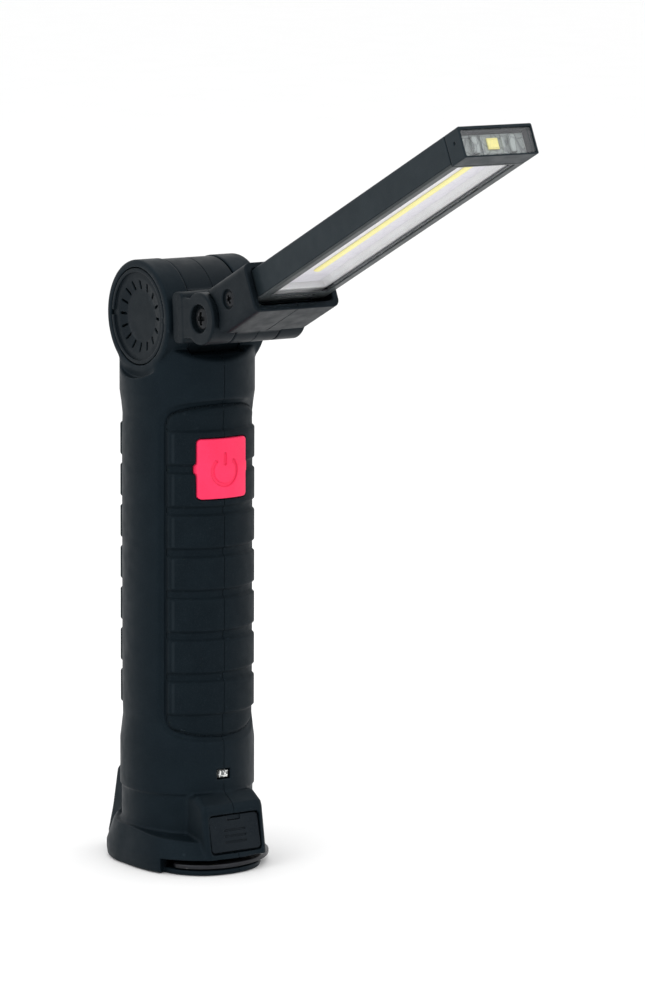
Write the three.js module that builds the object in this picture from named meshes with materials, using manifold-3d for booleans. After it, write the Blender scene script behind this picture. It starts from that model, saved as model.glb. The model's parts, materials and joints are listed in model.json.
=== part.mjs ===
// Folding rechargeable work light: a round rubber-gripped handle with a magnetic base and a swing-out
// hook, a folding arm between two cheeks at the top of the handle, and a slim light bar that tilts on
// the arm. Millimetres, +Z up. The origin is the middle of the magnet's lower face, the front (power
// button and charging port) faces -Y, and both hinges turn about X.
import * as THREE from "three";
import { mergeVertices } from "three/addons/utils/BufferGeometryUtils.js";
import Module from "manifold-3d";

const wasm = await Module();
wasm.setup();

// ---------------------------------------------------------------- driving dimensions
const GAP = 0.3; // between two pieces that touch
const SEAM = 0.15; // from the middle plane to each half shell
const FAR = 80; // beyond anything that a cutter has to pass through

// Handle
const HANDLE_R = 23.9; // plain rings above and below the grips
const WAIST_R = 23.1; // smooth side strips between the grips
const NECK_R = 23.3; // below the ring step
const RING_Z = 26.8; // ring step
const SHOULDER_Z = 180.8; // front edge of the handle's top
const BORE_R = 19.9; // inside of the handle
const CAVITY_TOP = 172;

// Barrel: the fold hinge across the top of the handle
const BARREL_Z = 195.17;
const BARREL_R = 19.83;
const BARREL_HALF = 20.9;
const CHEEK_IN = 11; // inner face of each cheek
const DRUM_HALF = 10.5;
const DRUM_R = 19.5;
const CAP_R = 16.9;

// Grips
const BAND_COUNT = 7;
const BAND_FIRST = 56; // lower edge of the lowest raised band
const BAND_PITCH = 14.8;
const BAND_HEIGHT = 10.8;
const BAND_R = 24;
const GROOVE_R = 22.9;
const GRIP_LOW = 47;
const GRIP_HIGH = 166;
const GRIP_ANGLE = 57; // degrees from the middle plane to the grip's side edge

// Base
const FLOOR_Z = 7.4; // top of the floor above the hook slot
const LEDGE_Z = 14.2; // top of the skirt's ledge, beside the neck
const SLOT_LOW = 1.8;
const SLOT_HIGH = 5.4;
const BLOCK_HALF = 12.8; // front port block and rear boss
const HUB_R = 16.2;
const MAGNET_R = 12.6;
const CUP_R = 14.2;
const PIVOT = [20.5, -6]; // hook pin
const PIVOT_R = 1.5;

// Power button
const BUTTON_Z = 142.8;
const BUTTON_HALF = 10;
const BUTTON_HIGH = 21.2;
const BUTTON_R = 24.6;
const BUTTON_TRAVEL = 0.8;

// Charging port cover, in its own tilted frame
const COVER_Y = -30.9;
const COVER_Z = 13.9;
const COVER_TILT = -12.7; // degrees
const COVER_HALF = 10.4;
const COVER_HALF_HIGH = 6.5;

// Arm, pointing along its own -Y from the barrel's axis
const ARM_RISE = 4.04; // degrees above level
const ARM_LENGTH = 37.3; // barrel axis to tilt axis
const ARM_HALF = 19.5;
const ARM_HALF_HIGH = 8.95;
const BLOCK_BACK = 20.3;
const BLOCK_FRONT = 27.6;
const LUG_R = 9.1;
const LUG_IN = 9.4;

// Light head, pointing along its own -Y from the tilt axis
const HEAD_RISE = 25.66; // degrees above level
const HEAD_LENGTH = 161.5; // tilt axis to tip
const BAR_HALF = 14.7;
const BAR_LOW = -4.5;
const BAR_HIGH = 6.1;
const WINDOW_HALF = 11.5;
const SOCKET_HALF = 17.5;
const SOCKET_LOW = -9.2;
const SOCKET_HIGH = 8.9;
const SOCKET_FRONT = -31.5;
const TONGUE_HALF = 9.1;

// ---------------------------------------------------------------- solids
const radians = THREE.MathUtils.degToRad;

// A geometry as a manifold-3d solid that faces out.
function solid(geometry) {
  const bare = geometry.clone();
  bare.deleteAttribute("normal");
  bare.deleteAttribute("uv");
  const merged = mergeVertices(bare, 1e-4);
  const corners = merged.index.array;
  const kept = [];
  for (let i = 0; i < corners.length; i += 3) {
    const [a, b, c] = [corners[i], corners[i + 1], corners[i + 2]];
    if (a !== b && b !== c && c !== a) kept.push(a, b, c);
  }
  const vertProperties = new Float32Array(merged.attributes.position.array);
  const build = (order) =>
    new wasm.Manifold(new wasm.Mesh({ numProp: 3, vertProperties, triVerts: new Uint32Array(order) }));
  const made = build(kept);
  return made.volume() < 0 ? build(kept.reverse()) : made;
}

const join = (first, ...others) => others.reduce((sum, other) => sum.add(other), first);
const cut = (first, ...others) => others.reduce((rest, other) => rest.subtract(other), first);
const common = (first, second) => first.intersect(second);

function box([x0, x1], [y0, y1], [z0, z1]) {
  const geometry = new THREE.BoxGeometry(x1 - x0, y1 - y0, z1 - z0);
  return solid(geometry.translate((x0 + x1) / 2, (y0 + y1) / 2, (z0 + z1) / 2));
}

// Turns a geometry made along local Z so that it runs along another axis.
function along(axis, geometry) {
  if (axis === "x") return geometry.rotateY(Math.PI / 2);
  if (axis === "y") return geometry.rotateX(-Math.PI / 2);
  return geometry;
}

// A surface of revolution: profile points are [radius, place along the axis], centre is [x, y, z].
function turned(axis, profile, centre = [0, 0, 0], segments = 24) {
  const points = profile.map(([radius, place]) => new THREE.Vector2(radius, place));
  const geometry = new THREE.LatheGeometry(points, segments).rotateX(Math.PI / 2);
  return solid(along(axis, geometry).translate(...centre));
}

function rod(axis, radius, [low, high], centre = [0, 0, 0], segments = 24) {
  const profile = [
    [0, low],
    [radius, low],
    [radius, high],
    [0, high],
  ];
  return turned(axis, profile, centre, segments);
}

function ring(axis, inner, outer, [low, high], centre = [0, 0, 0], segments = 24) {
  const profile = [
    [inner, low],
    [outer, low],
    [outer, high],
    [inner, high],
    [inner, low],
  ];
  return turned(axis, profile, centre, segments);
}

function outline(points) {
  return new THREE.Shape(points.map(([a, b]) => new THREE.Vector2(a, b)));
}

function roundedRectangle([a0, a1], [b0, b1], radius) {
  const shape = new THREE.Shape();
  shape.absarc(a1 - radius, b0 + radius, radius, -Math.PI / 2, 0);
  shape.absarc(a1 - radius, b1 - radius, radius, 0, Math.PI / 2);
  shape.absarc(a0 + radius, b1 - radius, radius, Math.PI / 2, Math.PI);
  shape.absarc(a0 + radius, b0 + radius, radius, Math.PI, 1.5 * Math.PI);
  return shape;
}

// A straight prism. The outline is (y, z) for a prism along x, (x, z) along y and (x, y) along z.
function prism(axis, shape, [low, high], curveSegments = 4) {
  const settings = { depth: high - low, bevelEnabled: false, curveSegments };
  const geometry = new THREE.ExtrudeGeometry(shape, settings).translate(0, 0, low);
  if (axis === "x") geometry.rotateX(Math.PI / 2).rotateZ(Math.PI / 2);
  if (axis === "y") geometry.rotateX(Math.PI / 2).scale(1, -1, 1);
  return solid(geometry);
}

// A vertical wedge about the handle's axis, between two directions in degrees from +X.
function wedge(from, to, [low, high]) {
  const points = [[0, 0]];
  const steps = 4;
  for (let i = 0; i <= steps; i++) {
    const angle = radians(from + ((to - from) * i) / steps);
    points.push([FAR * Math.cos(angle), FAR * Math.sin(angle)]);
  }
  return prism("z", outline(points), [low, high]);
}

const leftHalf = (whole) => common(whole, box([-FAR, -SEAM], [-250, 250], [-250, 300]));
const rightHalf = (whole) => common(whole, box([SEAM, FAR], [-250, 250], [-250, 300]));

// ---------------------------------------------------------------- scene graph
const workLight = new THREE.Group();

const finishes = {
  softTouch: { color: 0x1b2226, roughness: 0.62, metalness: 0 },
  grip: { color: 0x171d21, roughness: 0.75, metalness: 0 },
  dark: { color: 0x262d30, roughness: 0.5, metalness: 0 },
  satin: { color: 0x32393c, roughness: 0.42, metalness: 0 },
  bezel: { color: 0x5f6668, roughness: 0.35, metalness: 0.1 },
  silicone: { color: 0xff3c64, roughness: 0.5, metalness: 0 },
  rubber: { color: 0x15191b, roughness: 0.4, metalness: 0 },
  blackSteel: { color: 0x2a2b2d, roughness: 0.4, metalness: 0.9 },
  steel: { color: 0x9a9da0, roughness: 0.3, metalness: 1 },
  magnet: { color: 0x8d9195, roughness: 0.25, metalness: 1 },
  clear: { color: 0xf2f5f5, roughness: 0.08, metalness: 0, transparent: true, opacity: 0.25 },
  reflector: { color: 0xd9dcdf, roughness: 0.2, metalness: 0.8 },
  board: { color: 0xe6e2ec, roughness: 0.5, metalness: 0 },
  circuit: { color: 0x1f5a38, roughness: 0.5, metalness: 0 },
  phosphor: { color: 0xf0e27a, roughness: 0.6, metalness: 0 },
  cell: { color: 0x2f6f9f, roughness: 0.4, metalness: 0.1 },
  nylon: { color: 0xcfcfc8, roughness: 0.6, metalness: 0 },
};

function addPart(parent, name, shape, finish) {
  const { vertProperties, triVerts } = shape.getMesh();
  const geometry = new THREE.BufferGeometry();
  geometry.setAttribute("position", new THREE.BufferAttribute(vertProperties, 3));
  geometry.setIndex(new THREE.BufferAttribute(triVerts, 1));
  geometry.computeVertexNormals();
  const mesh = new THREE.Mesh(geometry, new THREE.MeshStandardMaterial(finishes[finish]));
  mesh.name = name;
  parent.add(mesh);
}

// ---------------------------------------------------------------- handle shells
// The skirt's plan outline, seen from above: round behind, fuller at the front left where it guards
// the hook's tip, and drawn in at the front right.
function skirtOutline(grow) {
  const points = [
    [-26.4, 8],
    [-26.8, 0],
    [-26.6, -10],
    [-24.6, -19.5],
    [-19.5, -27],
    [-12.5, -32.4],
    [-4, -34],
    [5, -33.6],
    [11.8, -29.6],
    [16, -23.6],
    [20.5, -17],
    [25, -8.5],
    [26.6, 0],
    [26.4, 8],
    [23.6, 16.4],
    [18.5, 23.6],
    [12.8, 29.5],
    [0, 32],
    [-12.8, 29.5],
    [-18.5, 23.6],
    [-23.6, 16.4],
  ];
  const scaled = points.map(([x, y]) => new THREE.Vector2(x, y).multiplyScalar(grow));
  const curve = new THREE.CatmullRomCurve3(scaled.map(({ x, y }) => new THREE.Vector3(x, y, 0)), true);
  return new THREE.Shape(curve.getPoints(42).map(({ x, y }) => new THREE.Vector2(x, y)));
}

// The skirt leans inwards above the hook slot, and most of all in front. Its ledge falls forwards.
function skirtBody() {
  const settings = { depth: 2.8, bevelThickness: 2.6, bevelSize: 1, bevelSegments: 1 };
  const lower = solid(new THREE.ExtrudeGeometry(skirtOutline(0.965), settings).translate(0, 0, 2.6));
  const leanTop = LEDGE_Z + 1;
  const [topX, topY] = [0.925, 0.83];
  const rise = leanTop - SLOT_HIGH;
  const upper = new THREE.ExtrudeGeometry(skirtOutline(1), { depth: rise, bevelEnabled: false });
  const corners = upper.attributes.position;
  for (let i = 0; i < corners.count; i++) {
    const risen = corners.getZ(i) / rise;
    const x = corners.getX(i) * (1 + (topX - 1) * risen);
    const y = corners.getY(i) * (1 + (topY - 1) * risen);
    corners.setXYZ(i, x, y, corners.getZ(i) + SLOT_HIGH);
  }
  const ledgeFall = 0.09;
  const ledge = [
    [-FAR, 0],
    [FAR, 0],
    [FAR, LEDGE_Z],
    [0, LEDGE_Z],
    [-FAR, LEDGE_Z - FAR * ledgeFall],
  ];
  const below = common(lower, box([-FAR, FAR], [-FAR, FAR], [0, SLOT_HIGH + 0.1]));
  return join(below, common(solid(upper), prism("x", outline(ledge), [-FAR, FAR])));
}

// Front block that holds the charging port, and the boss behind the base.
function portBlock() {
  const side = [
    [-15, SLOT_HIGH],
    [-32.9, SLOT_HIGH],
    [-30.1, 22.4],
    [-29.2, 24.2],
    [-24.2, 27.2],
    [-15, 27.2],
  ];
  return prism("x", outline(side), [-BLOCK_HALF, BLOCK_HALF]);
}

function rearBoss() {
  const side = [
    [15, 0],
    [32.4, 0],
    [33.4, 1.2],
    [33.6, 5],
    [30.4, 14.5],
    [27.2, 28.6],
    [25.6, 30.2],
    [15, 30.2],
  ];
  return prism("x", outline(side), [-BLOCK_HALF, BLOCK_HALF]);
}

function barrelCheeks() {
  const edge = 0.9;
  const profile = [
    [0, -BARREL_HALF],
    [BARREL_R - edge, -BARREL_HALF],
    [BARREL_R, -BARREL_HALF + edge],
    [BARREL_R, BARREL_HALF - edge],
    [BARREL_R - edge, BARREL_HALF],
    [0, BARREL_HALF],
  ];
  return turned("x", profile, [0, 0, BARREL_Z], 40);
}

function handleOuter() {
  const tube = turned(
    "z",
    [
      [0, SLOT_HIGH],
      [NECK_R, SLOT_HIGH],
      [NECK_R, RING_Z - 0.3],
      [HANDLE_R, RING_Z + 0.3],
      [HANDLE_R, GRIP_LOW - 1.5],
      [WAIST_R, GRIP_LOW + 4],
      [WAIST_R, GRIP_HIGH - 5],
      [HANDLE_R, GRIP_HIGH + 1],
      [HANDLE_R, BARREL_Z],
      [0, BARREL_Z],
    ],
    [0, 0, 0],
    48,
  );
  // The shoulders rise from the handle's rim to the barrel, in front and behind.
  const barrelEdge = 16.9;
  const barrelTouch = 184.9;
  const shoulders = prism(
    "x",
    outline([
      [-FAR, 0],
      [FAR, 0],
      [FAR, SHOULDER_Z],
      [HANDLE_R, SHOULDER_Z],
      [barrelEdge, barrelTouch],
      [-barrelEdge, barrelTouch],
      [-HANDLE_R, SHOULDER_Z],
      [-FAR, SHOULDER_Z],
    ]),
    [-FAR, FAR],
  );
  const recessR = 21.5;
  const recesses = [-1, 1].map((side) => {
    const span = [BARREL_HALF, FAR].map((x) => side * x).sort((a, b) => a - b);
    return rod("x", recessR, span, [0, 0, BARREL_Z], 36);
  });
  return join(cut(common(tube, shoulders), ...recesses), barrelCheeks());
}

// What is hollow inside the handle.
function handleInner() {
  const wall = 2.4;
  const tube = turned(
    "z",
    [
      [0, FLOOR_Z],
      [NECK_R - wall, FLOOR_Z],
      [NECK_R - wall, 28],
      [BORE_R, 31],
      [BORE_R, CAVITY_TOP - 4],
      [BORE_R - 5, CAVITY_TOP],
      [0, CAVITY_TOP],
    ],
    [0, 0, 0],
    24,
  );
  const half = BLOCK_HALF - wall + 0.2;
  const portSide = [[-15, FLOOR_Z], [-28.6, FLOOR_Z], [-27.2, 21], [-15, 24.6]];
  const bossSide = [[15, FLOOR_Z], [29, FLOOR_Z], [27.4, 14], [24.6, 27], [15, 27]];
  const port = prism("x", outline(portSide), [-half, half]);
  const boss = prism("x", outline(bossSide), [-half, half]);
  const wireWay = box([-3, 3], [-3, 3], [CAVITY_TOP - 1, CAVITY_TOP + 6]);
  return join(tube, port, boss, wireWay);
}

// The space that ribs and bosses may fill: inside the outer skin.
function handleOuterLimit() {
  const tube = rod("z", BORE_R + 0.8, [FLOOR_Z - 0.5, CAVITY_TOP + 1], [0, 0, 0], 48);
  const boss = box([-11.6, 11.6], [14, 27.8], [FLOOR_Z - 0.5, 26]);
  return join(tube, boss);
}

// Ribs that hold the cell, and the bosses for the three shell screws.
const CELL = { r: 9.2, y: 1.5, low: 60, high: 125.2 };
const SHELL_SCREWS = [
  { name: "shell_screw_upper", y: 0, z: 166.5, head: 21.2 },
  { name: "shell_screw_lower", y: 12.5, z: 39, head: 18 },
  { name: "shell_screw_rear", y: 24, z: 20.5, head: 11.4 },
];

function cellRibs() {
  const rib = 1.6;
  const plates = [CELL.low - GAP - rib, CELL.low + 14, CELL.high - 14, CELL.high + GAP].map((z, i) => {
    const plate = common(
      rod("z", BORE_R + 0.6, [z, z + rib]),
      box([-FAR, FAR], [-8.5, FAR], [0, 200]),
    );
    const holds = i === 1 || i === 2;
    return cut(plate, rod("z", holds ? CELL.r + GAP : 5, [z - 1, z + rib + 1], [0, CELL.y, 0], 16));
  });
  return join(...plates);
}

function screwBosses() {
  const bossR = 3.7;
  const ends = 2; // from each end of the boss to where the screw's head stops
  const bosses = SHELL_SCREWS.map(({ y, z, head }) =>
    rod("x", bossR, [ends - head, head - ends], [0, y, z], 10),
  );
  return join(...bosses);
}

function screwHoles({ y, z, head }) {
  const shaft = rod("x", 1.75, [-9, head], [0, y, z], 10);
  const pocket = rod("x", 3.1, [head - 2.2, FAR], [0, y, z], 14);
  return join(shaft, pocket);
}

// Everything that is cut from both shells after they are hollow.
function buttonOpening(grow) {
  const halfHigh = BUTTON_HIGH / 2;
  const pad = prism(
    "y",
    roundedRectangle(
      [-BUTTON_HALF - grow, BUTTON_HALF + grow],
      [BUTTON_Z - halfHigh - grow, BUTTON_Z + halfHigh + grow],
      1.5 + grow,
    ),
    [-FAR, -16],
  );
  const ears = box([-10.8 - grow, 10.8 + grow], [-FAR, -16], [BUTTON_Z - 2 - grow, BUTTON_Z + 2 + grow]);
  return join(pad, ears);
}

function gripRecess() {
  const recess = ring("z", 21.9, 40, [GRIP_LOW - GAP, GRIP_HIGH + GAP], [0, 0, 0], 48);
  const front = wedge(-90 - GRIP_ANGLE - 0.8, -90 + GRIP_ANGLE + 0.8, [0, 200]);
  const back = wedge(90 - GRIP_ANGLE - 0.8, 90 + GRIP_ANGLE + 0.8, [0, 200]);
  return common(recess, join(front, back));
}

function coverFrame(shape) {
  return shape.rotate([COVER_TILT, 0, 0]).translate([0, COVER_Y, COVER_Z]);
}

function portOpening() {
  const pocket = prism(
    "y",
    roundedRectangle([-COVER_HALF - GAP, COVER_HALF + GAP], [-7.1, COVER_HALF_HIGH + GAP], 1.7),
    [-10, 1.8],
  );
  const mouth = box([-5, 5], [-1, 6], [-2.9, 2.2]);
  return coverFrame(join(pocket, mouth));
}

// The slot that the hook lies in is open round the front and the right side.
function hookSlot() {
  const region = [[-24.6, -50], [-24.6, -20], [-20, -17.5], [-12, -8], [10, 6], [50, 6], [50, -50]];
  const hub = rod("z", HUB_R, [-1, 10], [0, 0, 0], 28);
  const slot = cut(prism("z", outline(region), [-1, SLOT_HIGH]), hub);
  const pinHole = rod("z", PIVOT_R + 0.1, [SLOT_HIGH - 1, FLOOR_Z - 0.6], [...PIVOT, 0], 16);
  return join(slot, pinHole);
}

// The lip under the hook, level with the magnet's face.
function baseLip() {
  const front = [
    [-21.6, -14],
    [-21.4, -21],
    [-18.2, -27],
    [-12.4, -32],
    [-4, -33.8],
    [3, -33.2],
    [8.4, -31],
    [12.6, -27.6],
    [17.5, -21],
    [22.6, -12.8],
    [25.6, -4],
    [26, 6.6],
  ];
  const curve = new THREE.SplineCurve(front.map(([x, y]) => new THREE.Vector2(x, y)));
  const shape = new THREE.Shape(curve.getPoints(18));
  shape.lineTo(20, 10);
  shape.lineTo(-20, 10);
  const lip = prism("z", shape, [0, SLOT_LOW]);
  return cut(lip, rod("z", PIVOT_R + 0.1, [0.6, 10], [...PIVOT, 0], 16));
}

function buildShells() {
  const outer = join(handleOuter(), portBlock(), rearBoss(), skirtBody());
  const hollow = cut(outer, handleInner());
  const bosses = common(join(cellRibs(), screwBosses()), handleOuterLimit());
  const drumWell = rod("x", DRUM_R + 0.6, [-CHEEK_IN, CHEEK_IN], [0, 0, BARREL_Z], 40);
  const axleHole = rod("x", 3.3, [-FAR, FAR], [0, 0, BARREL_Z], 16);
  const magnetHole = rod("z", CUP_R + GAP, [-1, SLOT_HIGH], [0, 0, 0], 28);
  const ends = [-1, 1].flatMap((side) => {
    const span = (low, high) => [low * side, high * side].sort((a, b) => a - b);
    return [
      rod("x", CAP_R + GAP, span(18.3, FAR), [0, 0, BARREL_Z], 36),
      rod("x", 6.4, span(14.3, 19), [0, 0, BARREL_Z], 16),
    ];
  });
  const indicator = box([-2.7, 2.7], [-40, -17], [31.9, 35.5]);
  const opened = cut(
    join(hollow, bosses),
    drumWell,
    box([-CHEEK_IN, CHEEK_IN], [-FAR, FAR], [SHOULDER_Z + 2.2, 240]),
    axleHole,
    ...ends,
    gripRecess(),
    buttonOpening(GAP),
    portOpening(),
    indicator,
    ...SHELL_SCREWS.map(screwHoles),
    hookSlot(),
  );
  const whole = cut(join(opened, baseLip()), magnetHole);
  addPart(workLight, "handle_shell_left", leftHalf(whole), "softTouch");
  addPart(workLight, "handle_shell_right", rightHalf(whole), "softTouch");
}

// ---------------------------------------------------------------- grips
function gripProfile() {
  const backR = 22.2;
  const points = [
    [backR, GRIP_LOW],
    [GROOVE_R + 0.4, GRIP_LOW],
  ];
  const flank = 0.9;
  for (let i = 0; i < BAND_COUNT; i++) {
    const low = BAND_FIRST + i * BAND_PITCH;
    points.push([GROOVE_R, low - flank], [BAND_R, low], [BAND_R, low + BAND_HEIGHT]);
    points.push([GROOVE_R, low + BAND_HEIGHT + flank]);
  }
  points.push([BAND_R - 0.3, GRIP_HIGH], [backR, GRIP_HIGH], [backR, GRIP_LOW]);
  return points;
}

function buildGrips() {
  const sleeve = turned("z", gripProfile(), [0, 0, 0], 48);
  const edge = 0.4; // degrees from the middle plane
  const opening = buttonOpening(2 * GAP);
  const pads = [
    ["front_grip_left", -90 - GRIP_ANGLE, -90 - edge],
    ["front_grip_right", -90 + edge, -90 + GRIP_ANGLE],
    ["rear_grip_right", 90 - GRIP_ANGLE, 90 - edge],
    ["rear_grip_left", 90 + edge, 90 + GRIP_ANGLE],
  ];
  for (const [name, from, to] of pads) {
    const pad = cut(common(sleeve, wedge(from, to, [0, 200])), opening);
    addPart(workLight, name, pad, "grip");
  }
}

// ---------------------------------------------------------------- barrel fittings
function barrelCap(side) {
  const at = (x) => side * x;
  const back = 18.6;
  const profile = [
    [0, at(back)],
    [CAP_R, at(back)],
    [CAP_R, at(20.5)],
    [CAP_R - 0.3, at(20.8)],
    [15.9, at(20.8)],
    [15.5, at(20)],
    [0, at(20)],
  ];
  const slots = [];
  const slotCount = 16;
  const [inner, outer] = [9.4, 12.7];
  for (let i = 0; i < slotCount; i++) {
    const depth = [at(19.4), at(21)].sort((a, b) => a - b);
    const slot = box(depth, [inner, outer], [-0.45, 0.45]);
    slots.push(slot.rotate([(360 * i) / slotCount, 0, 0]).translate([0, 0, BARREL_Z]));
  }
  return cut(turned("x", profile, [0, 0, BARREL_Z], 36), ...slots);
}

function screw({ axis = "x", head, headHigh, shaft, from, to, centre, cross }) {
  // The head ends at `from`; the shaft runs from the head to `to`.
  const inward = Math.sign(to - from);
  const headEnd = from + inward * headHigh;
  const span = (a, b) => [Math.min(a, b), Math.max(a, b)];
  const crown = turned(
    axis,
    [
      [0, from],
      [head * 0.78, from],
      [head, from + inward * headHigh * 0.4],
      [head, headEnd],
      [0, headEnd],
    ],
    centre,
    14,
  );
  const stem = rod(axis, shaft, span(headEnd - inward * 0.2, to), centre, 8);
  if (!cross) return join(crown, stem);
  const depth = span(from - inward, from + inward * cross * 0.5);
  const arms = [
    [cross, cross * 0.22],
    [cross * 0.22, cross],
  ].map(([a, b]) => {
    const bar = axis === "x" ? box(depth, [-a, a], [-b, b]) : box([-a, a], [-b, b], depth);
    return bar.translate(centre);
  });
  return cut(join(crown, stem), ...arms);
}

function nut(radius, [low, high], centre) {
  return cut(rod("x", radius, [low, high], centre, 6), rod("x", 2.3, [low - 1, high + 1], centre, 12));
}

function buildBarrel() {
  const centre = [0, 0, BARREL_Z];
  addPart(workLight, "barrel_cap_left", barrelCap(-1), "dark");
  addPart(workLight, "barrel_cap_right", barrelCap(1), "dark");
  const bolt = screw({ head: 5.6, headHigh: 3.2, shaft: 3, from: -18, to: 17.6, centre, cross: 2.6 });
  addPart(workLight, "fold_bolt", bolt, "steel");
  const nutBody = rod("x", 5.8, [14.9, 18.1], centre, 6);
  addPart(workLight, "fold_nut", cut(nutBody, rod("x", 3.3, [14, 19], centre, 16)), "steel");
  for (const [name, side] of [["fold_washer_left", -1], ["fold_washer_right", 1]]) {
    const span = [side * 9.6, side * 10.8].sort((a, b) => a - b);
    addPart(workLight, name, ring("x", 3.3, 8.6, span, centre, 20), "nylon");
  }
}

// ---------------------------------------------------------------- handle contents
const BOARD_FRONT = -12.6;

function buildContents() {
  const board = box([-13, 13], [BOARD_FRONT, BOARD_FRONT + 1.6], [31, 162]);
  addPart(workLight, "main_circuit_board", board, "circuit");

  const switchHalf = 3;
  const switchBody = box(
    [-switchHalf, switchHalf],
    [BOARD_FRONT - 3.8, BOARD_FRONT - GAP],
    [BUTTON_Z - switchHalf, BUTTON_Z + switchHalf],
  );
  const plunger = rod("y", 1.7, [BOARD_FRONT - 4.8, BOARD_FRONT - 3.5], [0, 0, BUTTON_Z], 10);
  addPart(workLight, "button_switch", join(switchBody, plunger), "rubber");

  const can = turned(
    "z",
    [
      [0, CELL.low],
      [CELL.r - 0.6, CELL.low],
      [CELL.r, CELL.low + 0.6],
      [CELL.r, CELL.high - 2.6],
      [CELL.r - 0.7, CELL.high - 1.6],
      [4, CELL.high - 1.2],
      [4, CELL.high],
      [0, CELL.high],
    ],
    [0, CELL.y, 0],
    20,
  );
  addPart(workLight, "battery_cell", can, "cell");

  const chargeBoard = box([-9, 9], [-27.6, -13], [9.7, 11.3]);
  addPart(workLight, "charge_circuit_board", chargeBoard, "circuit");

  const socketShape = roundedRectangle([-4.5, 4.5], [11.6, 14.8], 1.2);
  const mouthShape = roundedRectangle([-4.1, 4.1], [12, 14.4], 0.9);
  const tongue = box([-3.2, 3.2], [-27.4, -21.6], [12.9, 13.5]);
  const socket = join(
    cut(prism("y", socketShape, [-28, -21.2]), prism("y", mouthShape, [-30, -22])),
    tongue,
  );
  addPart(workLight, "usb_socket", socket, "steel");

  const pipe = box([-2.4, 2.4], [-23.7, -14.6], [32.2, 35.2]);
  const flange = box([-3.6, 3.6], [-19, -17.8], [31, 36.4]);
  addPart(workLight, "charge_indicator", join(pipe, flange), "clear");

  for (const { name, y, z, head } of SHELL_SCREWS) {
    const size = { head: 2.7, headHigh: 1.6, shaft: 1.4, cross: 1.3 };
    const body = screw({ ...size, from: head - 0.2, to: -8, centre: [0, y, z] });
    addPart(workLight, name, body, "blackSteel");
  }
}

// ---------------------------------------------------------------- base
function buildBase() {
  const magnet = turned("z", [[0, 0], [MAGNET_R, 0], [MAGNET_R, 3.9], [0, 3.9]], [0, 0, 0], 28);
  addPart(workLight, "base_magnet", magnet, "magnet");
  const cup = turned(
    "z",
    [
      [MAGNET_R + GAP, 0],
      [CUP_R, 0],
      [CUP_R, 4.6],
      [CUP_R - 0.5, 5.1],
      [0, 5.1],
      [0, 4.2],
      [MAGNET_R + GAP, 4.2],
      [MAGNET_R + GAP, 0],
    ],
    [0, 0, 0],
    28,
  );
  addPart(workLight, "magnet_cup", cup, "steel");
  const pin = rod("z", PIVOT_R, [0.9, FLOOR_Z - 0.9], [...PIVOT, 0], 16);
  addPart(workLight, "hook_pivot_pin", pin, "steel");
}

function buildHook() {
  const outer = [
    [-17.4, -20.4],
    [-20.2, -22.6],
    [-19.3, -26.4],
    [-14.6, -31.2],
    [-8, -33.9],
    [0, -34.2],
    [8.4, -31.6],
    [16.4, -26.4],
    [22.4, -18.6],
    [25.2, -10],
    [24.6, -4.4],
    [20.6, -1.7],
    [16.9, -4],
  ];
  const inner = [
    [16.8, -9],
    [15.6, -15.8],
    [10.4, -22],
    [2.6, -26.4],
    [-5, -27],
    [-11.2, -25],
    [-13.6, -21.4],
  ];
  const toVectors = (list) => list.map(([x, y]) => new THREE.Vector2(x, y));
  const edge = new THREE.SplineCurve(toVectors(outer)).getPoints(24);
  const back = new THREE.SplineCurve(toVectors(inner)).getPoints(10);
  const plate = prism("z", new THREE.Shape([...edge, ...back]), [2.4, 3.9]);
  const hole = rod("z", PIVOT_R + 0.1, [0, 10], [...PIVOT, 0], 16);
  addPart(workLight, "swing_hook", cut(plate, hole), "blackSteel");
}

function buildPortCover() {
  const shape = roundedRectangle([-COVER_HALF, COVER_HALF], [-COVER_HALF_HIGH, COVER_HALF_HIGH], 1.5);
  const pad = prism("y", shape, [-0.1, 1.5]);
  const plug = box([-3.6, 3.6], [1.4, 2.6], [-1.6, 0.2]);
  const thumbNotch = box([-2.6, 2.6], [-1, 0.5], [COVER_HALF_HIGH - 1.6, COVER_HALF_HIGH + 1]);
  addPart(workLight, "usb_cover", coverFrame(cut(join(pad, plug), thumbNotch)), "rubber");
}

function buildButton() {
  const halfHigh = BUTTON_HIGH / 2;
  const cylinder = rod("z", BUTTON_R, [BUTTON_Z - 20, BUTTON_Z + 20], [0, 0, 0], 56);
  const outerBox = prism(
    "y",
    roundedRectangle([-BUTTON_HALF, BUTTON_HALF], [BUTTON_Z - halfHigh, BUTTON_Z + halfHigh], 1.5),
    [-FAR, -13.9],
  );
  const ears = box([-10.8, 10.8], [-FAR, -18], [BUTTON_Z - 2, BUTTON_Z + 2]);
  const cap = common(join(outerBox, ears), cylinder);
  const inside = box([-8.5, 8.5], [-22.6, 0], [BUTTON_Z - halfHigh + 1.5, BUTTON_Z + halfHigh - 1.5]);
  const flange = cut(
    box([-11.8, 11.8], [-15.4, -13.9], [BUTTON_Z - halfHigh - 1.6, BUTTON_Z + halfHigh + 1.6]),
    inside,
  );
  const post = rod("y", 2.2, [-23, BOARD_FRONT - 4.8 - BUTTON_TRAVEL], [0, 0, BUTTON_Z], 16);
  addPart(workLight, "power_button", join(cut(cap, inside), flange, post), "silicone");
}

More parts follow.
